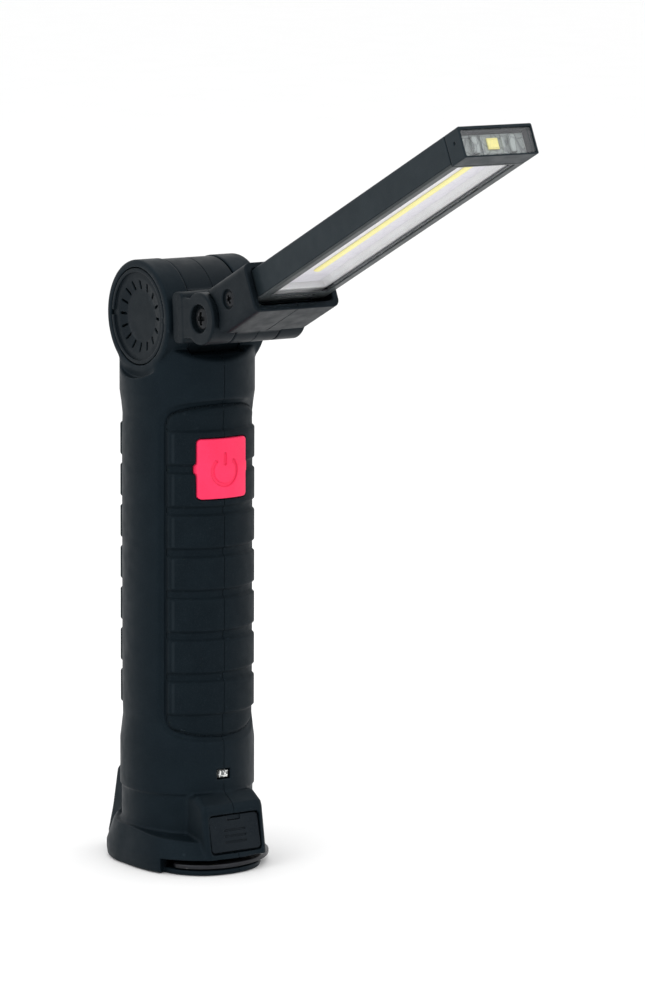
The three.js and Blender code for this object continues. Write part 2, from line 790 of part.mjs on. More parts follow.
// ---------------------------------------------------------------- folding arm
function buildArm() {
  const arm = new THREE.Group();
  arm.position.set(0, 0, BARREL_Z);
  arm.rotation.x = -radians(ARM_RISE);
  workLight.add(arm);

  const tilt = [0, -ARM_LENGTH, 0];
  const drum = rod("x", DRUM_R, [-DRUM_HALF, DRUM_HALF], [0, 0, 0], 40);
  const neck = box([-DRUM_HALF, DRUM_HALF], [-22, -10], [-ARM_HALF_HIGH, ARM_HALF_HIGH]);
  const block = prism(
    "x",
    roundedRectangle([-BLOCK_FRONT, -BLOCK_BACK], [-ARM_HALF_HIGH, ARM_HALF_HIGH], 2.4),
    [-ARM_HALF, ARM_HALF],
  );
  const web = box([-ARM_HALF, ARM_HALF], [-ARM_LENGTH, -24], [-4.4, 4.4]);
  // Outside the socket's reach the web is higher, as a plate on each side.
  const plates = [-1, 1].map((side) => {
    const span = [side * (SOCKET_HALF + 0.4), side * ARM_HALF].sort((a, b) => a - b);
    return box(span, [-ARM_LENGTH, -24], [-7, 7]);
  });
  const edge = 0.9;
  const lugs = turned(
    "x",
    [
      [0, -ARM_HALF],
      [LUG_R - edge, -ARM_HALF],
      [LUG_R, -ARM_HALF + edge],
      [LUG_R, ARM_HALF - edge],
      [LUG_R - edge, ARM_HALF],
      [0, ARM_HALF],
    ],
    tilt,
    28,
  );
  const clearance = join(
    rod("x", LUG_R + 0.5, [-LUG_IN, LUG_IN], tilt, 28),
    box([-LUG_IN, LUG_IN], [-60, -ARM_LENGTH], [-12, 12]),
  );
  const drumHollow = cut(rod("x", 15.8, [-8.2, 8.2]), rod("x", 5.6, [-9, 9], [0, 0, 0], 14));
  const blockMiddle = [0, -24, 0];
  const blockHollow = cut(
    box([-17.4, 17.4], [-25.6, -22.2], [-6.6, 6.6]),
    rod("x", 3.4, [-18, 18], blockMiddle, 8),
  );
  const washerSeats = [[-12, -9.3], [9.3, 12]].map((span) => rod("x", 8.9, span, [0, 0, 0], 20));
  const holes = [
    rod("x", 3.3, [-FAR, FAR], [0, 0, 0], 16),
    rod("x", 2.3, [-FAR, FAR], tilt, 12),
    rod("x", 5, [-FAR, -17.1], tilt, 20),
    rod("x", 4.3, [16.3, FAR], tilt, 6),
    rod("x", 1.7, [-12, FAR], blockMiddle, 8),
    rod("x", 3, [17.6, FAR], blockMiddle, 14),
  ];
  const hollows = [clearance, drumHollow, blockHollow, ...washerSeats, ...holes];
  const whole = cut(join(drum, neck, block, web, ...plates, lugs), ...hollows);
  addPart(arm, "arm_left_half", leftHalf(whole), "dark");
  addPart(arm, "arm_right_half", rightHalf(whole), "dark");

  const tiltSize = { head: 3.65, headHigh: 1.5, shaft: 2, cross: 2.1 };
  const tiltScrew = screw({ ...tiltSize, from: -18.9, to: 18.4, centre: tilt });
  addPart(arm, "tilt_screw", tiltScrew, "blackSteel");
  addPart(arm, "tilt_nut", nut(3.9, [16.6, 19], tilt), "steel");
  const armSize = { head: 2.6, headHigh: 1.4, shaft: 1.4, cross: 1.2 };
  const armScrew = screw({ ...armSize, from: 19.3, to: -10, centre: blockMiddle });
  addPart(arm, "arm_screw", armScrew, "blackSteel");
  for (const [name, side] of [["tilt_washer_left", -1], ["tilt_washer_right", 1]]) {
    const span = [side * 8.3, side * 9.25].sort((a, b) => a - b);
    addPart(arm, name, ring("x", 2.3, 5.6, span, tilt, 16), "nylon");
  }
}

// ---------------------------------------------------------------- light head
function buildHead() {
  const head = new THREE.Group();
  const rise = radians(ARM_RISE);
  head.position.set(0, -ARM_LENGTH * Math.cos(rise), BARREL_Z + ARM_LENGTH * Math.sin(rise));
  head.rotation.x = -radians(HEAD_RISE);
  workLight.add(head);
  const fromTip = (distance) => distance - HEAD_LENGTH;
  const between = (near, far) => [fromTip(near), fromTip(far)];

  buildSocket(head);
  buildBar(head, between);
  buildLights(head, between);
}

function buildSocket(head) {
  const clear = 9.6;
  const topCorner = [-5.2, SOCKET_HIGH];
  const bottomCorner = [-9.8, SOCKET_LOW];
  const side = [
    [SOCKET_FRONT, SOCKET_LOW],
    bottomCorner,
    [-4, -4],
    [-3, 4],
    topCorner,
    [SOCKET_FRONT, SOCKET_HIGH],
  ];
  const plan = roundedRectangle([-SOCKET_HALF, SOCKET_HALF], [SOCKET_LOW, SOCKET_HIGH], 3.2);
  const body = cut(
    common(prism("x", outline(side), [-SOCKET_HALF, SOCKET_HALF]), prism("y", plan, [-40, 10])),
    rod("x", clear, [-FAR, FAR], [0, 0, 0], 28),
  );
  const tongue = join(
    rod("x", LUG_R, [-TONGUE_HALF, TONGUE_HALF], [0, 0, 0], 28),
    box([-TONGUE_HALF, TONGUE_HALF], [-16, 0], [-7.8, 7.8]),
  );
  const mouth = prism("y", roundedRectangle([-15.1, 15.1], [-6.8, 6.5], 1.4), [-40, -14.2]);
  const screwY = -17.1;
  const screwZ = 0.8;
  const holes = [
    rod("x", 2.1, [-FAR, FAR], [0, 0, 0], 12),
    ...[[-12, -8], [8, 12]].map((span) => rod("x", 5.9, span, [0, 0, 0], 16)),
    rod("x", 1.8, [-FAR, FAR], [0, screwY, screwZ], 10),
    rod("x", 3.5, [-FAR, -16.2], [0, screwY, screwZ], 14),
    rod("x", 3.5, [16.2, FAR], [0, screwY, screwZ], 14),
    box([-1.6, 1.6], [-15, -6], [-1.6, 1.6]),
  ];
  const whole = cut(join(body, tongue), mouth, ...holes);
  addPart(head, "socket_left", leftHalf(whole), "dark");
  addPart(head, "socket_right", rightHalf(whole), "dark");
  const screws = [
    ["socket_screw_left", -17.2, -11.6],
    ["socket_screw_right", 17.2, 11.6],
  ];
  for (const [name, from, to] of screws) {
    const size = { head: 2.65, headHigh: 0.8, shaft: 1.4, cross: 1.3 };
    addPart(head, name, screw({ ...size, from, to, centre: [0, screwY, screwZ] }), "blackSteel");
  }
}

function buildBar(head, between) {
  const bezelTop = BAR_LOW + 0.8;
  const section = roundedRectangle([-BAR_HALF, BAR_HALF], [bezelTop + GAP, BAR_HIGH], 0.6);
  const channel = cut(
    prism("y", section, between(8.3, 146), 2),
    box([-12.9, 12.9], between(7, 139), [-20, 4.6]),
    box([-4, 4], between(130, 150), [0, 3]),
    rod("x", 1.8, [-FAR, -11], [0, -17.1, 0.8], 10),
    rod("x", 1.8, [11, FAR], [0, -17.1, 0.8], 10),
  );
  addPart(head, "lamp_body", channel, "satin");

  const slotHalf = 7.6;
  const bezel = cut(
    box([-BAR_HALF, BAR_HALF], between(8.3, 134), [BAR_LOW, bezelTop]),
    box([-WINDOW_HALF, WINDOW_HALF], between(9.4, 128.2), [-20, 20]),
    box([-slotHalf, slotHalf], between(129, 131.3), [-20, 20]),
  );
  addPart(head, "lens_bezel", bezel, "bezel");

  const lensFace = BAR_LOW + 0.3;
  const lensBack = bezelTop + GAP + 0.5;
  const lens = join(
    box([-WINDOW_HALF + GAP, WINDOW_HALF - GAP], between(9.7, 127.9), [lensFace, lensBack]),
    box([-slotHalf + GAP, slotHalf - GAP], between(129.3, 131), [lensFace, lensBack]),
    box([-12.6, 12.6], between(8.7, 132.4), [bezelTop + GAP, lensBack]),
  );
  addPart(head, "cob_lens", lens, "clear");

  const frameDepth = 6.2;
  const lensOpening = prism("y", roundedRectangle([-14, 14], [-4, 5.1], 0.6), between(-1, frameDepth), 2);
  const dimples = [-1, 1].map((side) => {
    const span = [side * (BAR_HALF - 0.5), side * (BAR_HALF + 1)].sort((a, b) => a - b);
    return rod("x", 0.6, span, [0, 3.7 - HEAD_LENGTH, 1.6], 8);
  });
  const endCap = cut(
    prism("y", roundedRectangle([-BAR_HALF, BAR_HALF], [BAR_LOW, BAR_HIGH], 0.6), between(0, 8), 2),
    lensOpening,
    box([-2.5, 2.5], between(5, 10), [0, 3]),
    ...dimples,
  );
  addPart(head, "head_end_cap", endCap, "satin");
}

function buildLights(head, between) {
  const trayHalf = 12.5;
  const flare = outline([[-9, 0.6], [9, 0.6], [12, -3], [-12, -3]]);
  const block = box([-trayHalf, trayHalf], between(9.2, 128.4), [-2.6, 0.4]);
  const tray = cut(block, prism("y", flare, between(10.4, 127.2)));
  addPart(head, "reflector_tray", tray, "reflector");
  addPart(head, "cob_board", box([-8.6, 8.6], between(11, 126.6), [-0.9, 0.1]), "board");
  addPart(head, "cob_strip", box([-1.6, 1.6], between(12.4, 115), [-1.6, -1.2]), "phosphor");

  const torchLens = prism("y", roundedRectangle([-13.7, 13.7], [-3.7, 4.8], 0.5), between(0.15, 1.3), 2);
  addPart(head, "torch_lens", torchLens, "clear");
  addPart(head, "torch_board", box([-13, 13], between(4.1, 5.2), [-3.1, 4.2]), "board");
  addPart(head, "torch_led", box([-2.15, 2.15], between(3, 3.8), [-1.15, 2.75]), "phosphor");
}

buildShells();
buildGrips();
buildBarrel();
buildContents();
buildBase();
buildHook();
buildPortCover();
buildButton();
buildArm();
buildHead();

export default workLight;
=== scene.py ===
"""A folding rechargeable work light: rubber-gripped handle, folding arm and a slim tilting light bar.

Sizes below are in millimetres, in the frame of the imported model: +Z up, the front faces -Y and both
hinges turn about X. Each moulded piece is a distance function (negative inside the plastic) that is
turned into a fine mesh, so that its edges and inner corners carry their real radii.
"""
import json
import math
from functools import reduce
import bpy
import numpy as np
from mathutils import Matrix, Vector


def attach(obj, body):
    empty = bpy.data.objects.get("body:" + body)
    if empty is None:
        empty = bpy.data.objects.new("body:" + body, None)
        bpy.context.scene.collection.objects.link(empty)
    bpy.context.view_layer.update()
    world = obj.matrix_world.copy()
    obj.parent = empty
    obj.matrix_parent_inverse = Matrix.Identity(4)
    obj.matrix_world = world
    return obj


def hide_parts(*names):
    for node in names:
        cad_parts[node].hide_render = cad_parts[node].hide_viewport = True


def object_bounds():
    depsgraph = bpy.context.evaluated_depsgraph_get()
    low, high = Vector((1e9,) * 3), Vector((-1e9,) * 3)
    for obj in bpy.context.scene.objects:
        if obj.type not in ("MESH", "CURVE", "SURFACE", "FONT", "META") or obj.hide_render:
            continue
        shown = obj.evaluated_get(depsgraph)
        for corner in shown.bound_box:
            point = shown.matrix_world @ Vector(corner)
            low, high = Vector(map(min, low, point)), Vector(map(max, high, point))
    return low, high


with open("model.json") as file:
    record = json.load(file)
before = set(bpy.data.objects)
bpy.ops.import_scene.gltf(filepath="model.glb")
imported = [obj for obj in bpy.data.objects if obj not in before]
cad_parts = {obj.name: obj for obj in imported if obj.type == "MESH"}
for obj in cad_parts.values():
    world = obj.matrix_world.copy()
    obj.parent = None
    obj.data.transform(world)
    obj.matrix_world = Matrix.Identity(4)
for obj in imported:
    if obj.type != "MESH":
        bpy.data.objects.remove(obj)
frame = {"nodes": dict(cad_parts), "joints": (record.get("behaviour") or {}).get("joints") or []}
cad_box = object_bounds()

MM = 0.001
SEAM = 0.06  # from the middle plane to each half
SIDES = ((-1, "left"), (1, "right"))

# ---------- sizes
joints = {joint["name"]: joint for joint in frame["joints"]}
BARREL_Z = joints["arm_fold"]["pos_m"][2] / MM
TILT_AXIS = Vector(joints["head_tilt"]["pos_m"]) / MM
ARM_RISE = math.atan2(TILT_AXIS.z - BARREL_Z, -TILT_AXIS.y)
ARM_LENGTH = math.hypot(TILT_AXIS.z - BARREL_Z, TILT_AXIS.y)
HEAD_RISE = math.radians(25.66)
HEAD_LENGTH = 161.5

HANDLE_R = 23.9
WAIST_R = 23.1
NECK_R = 23.3
FLOOR_Z = 7.4  # inside the handle
RING_Z = 26.8
BARREL_R = 19.83
BARREL_HALF = 20.9
CHEEK_IN = 11.0
DRUM_HALF = 10.7
DRUM_R = 19.5
CAP_R = 16.9
RECESS_R = 21.5
SCREWS = [(0.0, 166.5, 21.2), (12.5, 39.0, 18.0), (24.0, 20.5, 11.4)]  # y, z, |x| of the head

BAND_COUNT = 7
BAND_FIRST = 56.0
BAND_PITCH = 14.8
BAND_HEIGHT = 10.8
BAND_R = 24.0
GROOVE_R = 22.9
GRIP_LOW, GRIP_HIGH = 46.2, 166.2
GRIP_HALF = 22.4  # along the surface, from the middle plane to the grip's side edge
VALLEY_R = 22.35

LEDGE_Z = 14.2
SLOT_LOW, SLOT_HIGH = 1.8, 5.4  # the gap that the hook swings in
BLOCK_HALF = 12.8
HUB_R = 16.2
MAGNET_R = 12.6
CUP_R = 14.2
PIVOT = (20.5, -6.0)
PIN_R = 1.6

BUTTON_Z = 142.8
BUTTON_HALF, BUTTON_HALF_HIGH = 10.0, 10.6
BUTTON_R = 24.6
COVER_Y, COVER_Z, COVER_TILT = -30.9, 13.9, math.radians(-12.7)
COVER_HALF, COVER_HALF_HIGH = 10.4, 6.5

ARM_HALF = 19.5
ARM_HALF_HIGH = 8.95
ARM_SCREW_Y = -24.0
BLOCK_BACK, BLOCK_FRONT = 20.3, 27.6
LUG_R = 9.1
LUG_IN = 9.4

BAR_HALF, BAR_LOW, BAR_HIGH = 14.7, -4.5, 6.1
BAR_MIDDLE, BAR_TALL = (BAR_LOW + BAR_HIGH) / 2, (BAR_HIGH - BAR_LOW) / 2
BEZEL_TOP = BAR_LOW + 0.8
WINDOW_HALF = 11.5
SOCKET_HALF, SOCKET_LOW, SOCKET_HIGH, SOCKET_FRONT = 17.5, -9.2, 8.9, -31.5
SOCKET_SCREW = (-17.1, 0.8)

# ---------- distance functions
# A region is an array of signed distances: negative inside, positive outside.


def hypot(a, b):
    return np.sqrt(a * a + b * b)


def away(a, b, centre):
    """The distance from an axis through centre."""
    return hypot(a - centre[0], b - centre[1])


def both(a, b, radius=0.0):
    """What lies in a and in b, with the edge between them rounded."""
    if radius == 0:
        return np.maximum(a, b)
    out = hypot(np.maximum(a + radius, 0), np.maximum(b + radius, 0)) - radius
    return np.where(np.maximum(a, b) > -radius, out, np.maximum(a, b))


def either(a, b, radius=0.0):
    """What lies in a or in b, with a fillet of that radius between them."""
    return -both(-a, -b, radius)


def without(a, b, radius=0.0):
    return both(a, -b, radius)


def any_of(*regions):
    """What lies in at least one of the regions, with sharp edges."""
    return reduce(np.minimum, regions)


def all_of(*regions):
    """What lies in every one of the regions, with sharp edges."""
    return reduce(np.maximum, regions)


def slab(p, low, high):
    return np.maximum(low - p, p - high)


def ease(share):
    """A soft step from 0 to 1."""
    t = np.clip(share, 0, 1)
    return t * t * (3 - 2 * t)


def block(x, y, z, xs, ys, zs, radius=0.0):
    """A box with all its edges rounded."""
    gaps = [slab(p, *span) + radius for p, span in ((x, xs), (y, ys), (z, zs))]
    outside = np.sqrt(sum(np.maximum(gap, 0) ** 2 for gap in gaps))
    return outside + np.minimum(all_of(*gaps), 0) - radius


def disc(across, run, radius, low, high, edge=0.0):
    """A cylinder: across is the distance from its axis, run the place along it."""
    return both(across - radius, slab(run, low, high), edge)


def rounded(a, b, half_a, half_b, radius):
    """A rectangle round the origin, with rounded corners."""
    gap_a, gap_b = np.abs(a) - half_a + radius, np.abs(b) - half_b + radius
    outside = hypot(np.maximum(gap_a, 0), np.maximum(gap_b, 0))
    return outside + np.minimum(np.maximum(gap_a, gap_b), 0) - radius


def smooth_closed(points, per_span=8):
    """A closed Catmull-Rom curve through the points."""
    pts = np.array(points, float)
    before, after, later = np.roll(pts, 1, 0), np.roll(pts, -1, 0), np.roll(pts, -2, 0)
    t = np.linspace(0, 1, per_span, endpoint=False)[None, :, None]
    p0, p1, p2, p3 = (p[:, None] for p in (before, pts, after, later))
    curve = 2 * p1 + (p2 - p0) * t + (2 * p0 - 5 * p1 + 4 * p2 - p3) * t**2
    curve = curve + (3 * p1 - p0 - 3 * p2 + p3) * t**3
    return (curve / 2).reshape(-1, 2)


def outline(points, margin=12.0, spacing=0.15):
    """A closed outline as a function of two coordinates that gives the signed distance to it."""
    pts = np.array(points, float)
    low, high = pts.min(0) - margin, pts.max(0) + margin
    grid = [np.arange(low[i], high[i] + spacing, spacing) for i in (0, 1)]
    a, b = (g.astype(np.float32) for g in np.meshgrid(*grid, indexing="ij"))
    nearest = np.full(a.shape, 1e9, np.float32)
    inside = np.zeros(a.shape, bool)
    for (ax, ay), (bx, by) in zip(pts, np.roll(pts, -1, 0)):
        dx, dy = bx - ax, by - ay
        t = np.clip(((a - ax) * dx + (b - ay) * dy) / (dx * dx + dy * dy), 0, 1)
        nearest = np.minimum(nearest, (a - ax - t * dx) ** 2 + (b - ay - t * dy) ** 2)
        if dy != 0:
            crosses = (ay > b) != (by > b)
            inside ^= crosses & (a < ax + (b - ay) * dx / dy)
    table = np.where(inside, -1, 1) * np.sqrt(nearest)

    def distance(p, q):
        u = np.clip((p - low[0]) / spacing, 0, table.shape[0] - 1.001)
        v = np.clip((q - low[1]) / spacing, 0, table.shape[1] - 1.001)
        i, j = u.astype(np.int32), v.astype(np.int32)
        u, v = u - i, v - j
        near = table[i, j] * (1 - v) + table[i, j + 1] * v
        far = table[i + 1, j] * (1 - v) + table[i + 1, j + 1] * v
        return near * (1 - u) + far * u

    return distance


# ---------- meshes from distance functions


def lines(*spans):
    """Grid lines along one axis: each span is (start, end, spacing)."""
    parts = [np.linspace(a, b, max(2, round((b - a) / h) + 1))[:-1] for a, b, h in spans]
    return np.concatenate(parts + [[spans[-1][1]]]).astype(np.float32)


def sample(distance, axes):
    """The distance on the grid: exact near the surface, and only its sign far from it."""
    step = 4  # grid lines to one line of the coarse grid
    far = 9.0
    coarse = [np.unique(np.append(np.arange(0, len(a), step), len(a) - 1)) for a in axes]
    at = np.meshgrid(*[a[c] for a, c in zip(axes, coarse)], indexing="ij")
    rough = distance(*at).astype(np.float32)
    sizes = np.meshgrid(*[np.diff(a[c]) for a, c in zip(axes, coarse)], indexing="ij")
    reach = 1.35 * np.sqrt(sum(s * s for s in sizes))  # a coarse cell's diagonal, and some more
    near = np.full(reach.shape, np.inf, np.float32)
    for corner in np.ndindex(2, 2, 2):
        part = rough[tuple(slice(c, c + n) for c, n in zip(corner, reach.shape))]
        near = np.minimum(near, np.abs(part))
    sign = np.where(rough[:-1, :-1, :-1] < 0, -1, 1) * far
    counts = [np.append(np.diff(c)[:-1], np.diff(c)[-1] + 1) for c in coarse]
    close = near < reach
    field = sign.astype(np.float32)
    for axis, count in enumerate(counts):
        field, close = np.repeat(field, count, axis), np.repeat(close, count, axis)
    where = np.nonzero(close)
    field[where] = distance(*[a[w] for a, w in zip(axes, where)])
    return field


def corners_on_surface(field, axes, cells):
    """One vertex for each cell that the surface passes through: the mean of its edge crossings."""
    total = np.zeros((len(cells[0]), 3), np.float32)
    hits = np.zeros(len(cells[0]), np.float32)
    for axis in range(3):
        for du, dv in np.ndindex(2, 2):
            start = [c.copy() for c in cells]
            start[(axis + 1) % 3] += du
            start[(axis + 2) % 3] += dv
            end = [s + 1 if i == axis else s for i, s in enumerate(start)]
            a, b = field[tuple(start)], field[tuple(end)]
            crossing = (a < 0) != (b < 0)
            t = np.where(crossing, a / np.where(crossing, a - b, 1), 0)
            for i in range(3):
                place = axes[i][start[i]] + t * (axes[i][end[i]] - axes[i][start[i]])
                total[:, i] += np.where(crossing, place, 0)
            hits += crossing
    return total / hits[:, None]


def settle(distance, places, reach=0.3, rounds=3, probe=0.03):
    """Moves the vertices onto the surface, in each round by no more than reach."""
    for _ in range(rounds):
        value = distance(*places.T)
        slope = np.empty_like(places)
        for i in range(3):
            ahead, behind = places.copy(), places.copy()
            ahead[:, i] += probe
            behind[:, i] -= probe
            slope[:, i] = (distance(*ahead.T) - distance(*behind.T)) / (2 * probe)
        steep = np.maximum((slope**2).sum(1), 0.3)
        move = slope * (value / steep)[:, None]
        length = np.maximum(np.sqrt((move**2).sum(1)), 1e-6)
        places = places - move * np.minimum(1, reach / length)[:, None]
    return places


def net(distance, xs, ys, zs):
    """Vertices and quads of the surface where the distance is zero."""
    axes = (xs, ys, zs)
    field = sample(distance, axes)
    inside = field < 0
    count = sum(
        inside[tuple(slice(c, c + n - 1) for c, n in zip(corner, inside.shape))].astype(np.int8)
        for corner in np.ndindex(2, 2, 2)
    )
    mixed = (count > 0) & (count < 8)
    cells = np.nonzero(mixed)
    index = np.full(mixed.shape, -1, np.int32)
    index[mixed] = np.arange(len(cells[0]))
    places = corners_on_surface(field, axes, list(cells))
    quads = []
    for axis in range(3):
        u, v = (axis + 1) % 3, (axis + 2) % 3
        low, high = [slice(1, -1)] * 3, [slice(1, -1)] * 3
        low[axis], high[axis] = slice(0, -1), slice(1, None)
        before, after = inside[tuple(low)], inside[tuple(high)]
        place = np.argwhere(before != after)
        place[:, [u, v]] += 1
        leaving = before[before != after]
        around = []
        for du, dv in ((-1, -1), (0, -1), (0, 0), (-1, 0)):
            cell = place.copy()
            cell[:, u] += du
            cell[:, v] += dv
            around.append(index[tuple(cell.T)])
        quad = np.stack(around, 1)
        quad[~leaving] = quad[~leaving][:, ::-1]
        quads.append(quad)
    return settle(distance, places), np.concatenate(quads)


def new_object(name, data):
    thing = bpy.data.objects.new(name, data)
    bpy.context.scene.collection.objects.link(thing)
    return thing


def mesh_object(name, places, faces, material):
    """An object of quads, its places in millimetres."""
    mesh = bpy.data.meshes.new(name)
    mesh.vertices.add(len(places))
    mesh.vertices.foreach_set("co", (np.asarray(places, np.float32) * MM).ravel())
    mesh.loops.add(faces.size)
    mesh.loops.foreach_set("vertex_index", faces.ravel().astype(np.int32))
    mesh.polygons.add(len(faces))
    starts = np.arange(0, faces.size, faces.shape[1], dtype=np.int32)
    mesh.polygons.foreach_set("loop_start", starts)
    mesh.polygons.foreach_set("use_smooth", np.ones(len(faces), bool))
    mesh.update(calc_edges=True)
    mesh.validate()
    mesh.materials.append(material)
    piece = new_object(name, mesh)
    return piece


def turned_frame(place, angle):
    """The frame of the arm or the head: its own -Y points along the arm or the bar."""
    return Matrix.Translation(Vector(place)) @ Matrix.Rotation(-angle, 4, "X")


ARM_FRAME = turned_frame((0, 0, BARREL_Z), ARM_RISE)
HEAD_FRAME = turned_frame(TILT_AXIS, HEAD_RISE)
COVER_FRAME = Matrix.Translation((0, COVER_Y, COVER_Z)) @ Matrix.Rotation(COVER_TILT, 4, "X")
IDENTITY = Matrix.Identity(4)
PIECE_NAMES = {"cob_strip": "cob_phosphor_line", "charge_indicator": "charge_window"}


def moulded(node, ending, distance, grid, material, body, place=IDENTITY):
    """A piece made from a distance function, riding on its body in place of its CAD node.

    It stays within the box round the CAD model.
    """
    places, quads = net(distance, *grid)
    turn = np.array(place)
    places = places @ turn[:3, :3].T + turn[:3, 3]
    places = np.clip(places, np.array(cad_box[0]) / MM, np.array(cad_box[1]) / MM)
    piece = mesh_object(PIECE_NAMES.get(node, node + ending), places, quads, material)
    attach(piece, body)
    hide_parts(node)


def to_cover(x, y, z):
    """Places as seen in the port cover's tilted frame."""
    c, s = math.cos(COVER_TILT), math.sin(COVER_TILT)
    dy, dz = y - COVER_Y, z - COVER_Z
    return x, c * dy + s * dz, c * dz - s * dy


# ---------- materials


class Nodes:
    """A short way to write a node tree."""

    def __init__(self, name):
        self.material = bpy.data.materials.new(name)
        self.material.use_nodes = True
        self.tree = self.material.node_tree
        self.shader = self.tree.nodes["Principled BSDF"]
        self.output = self.tree.nodes["Material Output"]
        self.where = self.tree.nodes.new("ShaderNodeTexCoord").outputs["Object"]

    def add(self, kind, **values):
        node = self.tree.nodes.new("ShaderNode" + kind)
        for key, value in values.items():
            if key in node.inputs:
                node.inputs[key].default_value = value
            else:
                setattr(node, key, value)
        return node

    def link(self, start, end):
        self.tree.links.new(start, end)

    def feed(self, key, value):
        """Gives an input of the shader a fixed value or another node's output."""
        socket = self.shader.inputs[key]
        if isinstance(value, bpy.types.NodeSocket):
            self.link(value, socket)
        else:
            socket.default_value = value

    def noise(self, size, detail=3.0, stretch=(1, 1, 1)):
        """Noise whose features are about size millimetres across."""
        spread = self.add("Mapping")
        spread.inputs["Scale"].default_value = stretch
        self.link(self.where, spread.inputs["Vector"])
        node = self.add("TexNoise", Scale=1 / (size * MM), Detail=detail)
        self.link(spread.outputs[0], node.inputs["Vector"])
        return node.outputs["Fac"]

    def spread(self, value, low, high, from_low=0.3, from_high=0.7):
        node = self.add("MapRange")
        levels = (("From Min", from_low), ("From Max", from_high), ("To Min", low), ("To Max", high))
        for key, level in levels:
            node.inputs[key].default_value = level
        self.link(value, node.inputs["Value"])
        return node.outputs[0]

    def mix(self, amount, first, second):
        node = self.add("Mix", data_type="RGBA")
        for socket, value in ((node.inputs[6], first), (node.inputs[7], second)):
            if isinstance(value, tuple):
                socket.default_value = (*value, 1)
            else:
                self.link(value, socket)
        self.link(amount, node.inputs[0])
        return node.outputs[2]

    def bump(self, height, depth, below=None):
        """A bump of that depth in millimetres."""
        node = self.add("Bump", Strength=1.0, Distance=depth * MM)
        self.link(height, node.inputs["Height"])
        if below is not None:
            self.link(below, node.inputs["Normal"])
        return node.outputs[0]


def plastic(name, dark, light, rough, grain=0.35, depth=0.012, wear=0.35, spec=0.11, tint=1.0, painted_hollow_shade=0.0):
    """Moulded plastic or rubber: spark-eroded grain, faint blotches and rubbed edges.

    tint is how much red its gloss keeps, and hollow is how much painted shade darkens its inner corners.
    """
    n = Nodes(name)
    blotch = n.spread(n.noise(9, 4), 0, 1)
    fine = n.noise(grain, 2)
    tone = n.mix(blotch, dark, light)
    speckle = n.spread(n.noise(grain * 0.7, 1), 0, 0.35, 0.5, 0.75)
    lifted = tuple(min(1, c * 1.8 + 0.01) for c in light)
    tone = n.mix(speckle, tone, lifted)
    shape = n.add("NewGeometry").outputs["Pointiness"]
    # painted shade: inner corners and sunk marks are darkened towards half the dark tone
    if painted_hollow_shade:
        tone = n.mix(n.spread(shape, painted_hollow_shade, 0, 0.40, 0.485), tone, tuple(c * 0.5 for c in dark))
    edge = n.spread(shape, 0, wear, 0.52, 0.62)
    tone = n.mix(edge, tone, tuple(min(1, c * 2.2 + 0.012) for c in light))
    n.feed("Base Color", tone)
    n.feed("Roughness", n.spread(n.noise(4, 5), rough - 0.05, rough + 0.07))
    soft = n.bump(n.noise(2.6, 3), depth * 1.2)
    n.feed("Normal", n.bump(fine, depth, soft))
    n.feed("Specular IOR Level", spec)
    n.feed("Specular Tint", (tint, (1 + tint) / 2, 1, 1))
    return n.material


def metal(name, colour, rough, worn=None):
    """Plated or blackened metal with fine brushing, and bare edges if it is worn."""
    n = Nodes(name)
    tone = n.mix(n.spread(n.noise(2.2, 4), 0, 1), tuple(c * 0.8 for c in colour), colour)
    if worn:
        edge = n.spread(n.add("NewGeometry").outputs["Pointiness"], 0, 0.45, 0.53, 0.60)
        patch = n.add("Math", operation="MULTIPLY")
        n.link(edge, patch.inputs[0])
        n.link(n.spread(n.noise(1.3, 4), 0.2, 1, 0.4, 0.6), patch.inputs[1])
        tone = n.mix(patch.outputs[0], tone, worn)
    n.feed("Base Color", tone)
    n.feed("Metallic", 0.9)
    n.feed("Roughness", n.spread(n.noise(0.8, 4), rough - 0.07, rough + 0.1))
    n.feed("Normal", n.bump(n.noise(0.25, 2, (1, 1, 6)), 0.004))
    return n.material


def clear_plastic(name, gloss_share=0.06, rough=0.06):
    """A thin clear window: what is behind it shows, with the gloss of its face."""
    n = Nodes(name)
    n.tree.nodes.remove(n.shader)
    through = n.add("BsdfTransparent")
    through.inputs["Color"].default_value = (1, 1, 1, 1)
    gloss = n.add("BsdfGlossy", Roughness=rough)
    gloss.inputs["Color"].default_value = (0.95, 0.97, 1, 1)
    n.link(n.bump(n.noise(6, 2), 0.004), gloss.inputs["Normal"])
    mixed = n.add("MixShader")
    mixed.inputs[0].default_value = gloss_share
    n.link(through.outputs[0], mixed.inputs[1])
    n.link(gloss.outputs[0], mixed.inputs[2])
    n.link(mixed.outputs[0], n.output.inputs["Surface"])
    return n.material


def phosphor_with_painted_glow(name, colour, glow, strength):
    """Phosphor with a faint grain, and a weak painted glow that makes it brighter than the lamps alone light
    it.
    """
    n = Nodes(name)
    tone = n.mix(n.spread(n.noise(0.6, 3), 0, 1), tuple(c * 0.86 for c in colour), colour)
    n.feed("Base Color", tone)
    n.feed("Roughness", n.spread(n.noise(1.5, 2), 0.35, 0.5))
    n.feed("Emission Color", (*glow, 1))
    n.feed("Emission Strength", strength)
    return n.material


def painted_board(name, ground, tracks_and_glints, size=3.0):
    """A board with a net of tracks under its paint. On the light pipe the bright net is painted glints of
    its facets.
    """
    n = Nodes(name)
    cells = n.add("TexVoronoi", feature="DISTANCE_TO_EDGE", Scale=1 / (size * MM))
    n.link(n.where, cells.inputs["Vector"])
    near = n.spread(cells.outputs["Distance"], 1, 0, 0.03, 0.08)
    n.feed("Base Color", n.mix(near, ground, tracks_and_glints))
    n.feed("Roughness", n.spread(n.noise(2, 3), 0.3, 0.45))
    n.feed("Normal", n.bump(near, 0.02))
    return n.material


BLUISH = 0.6  # how much red the gloss of the black plastics keeps

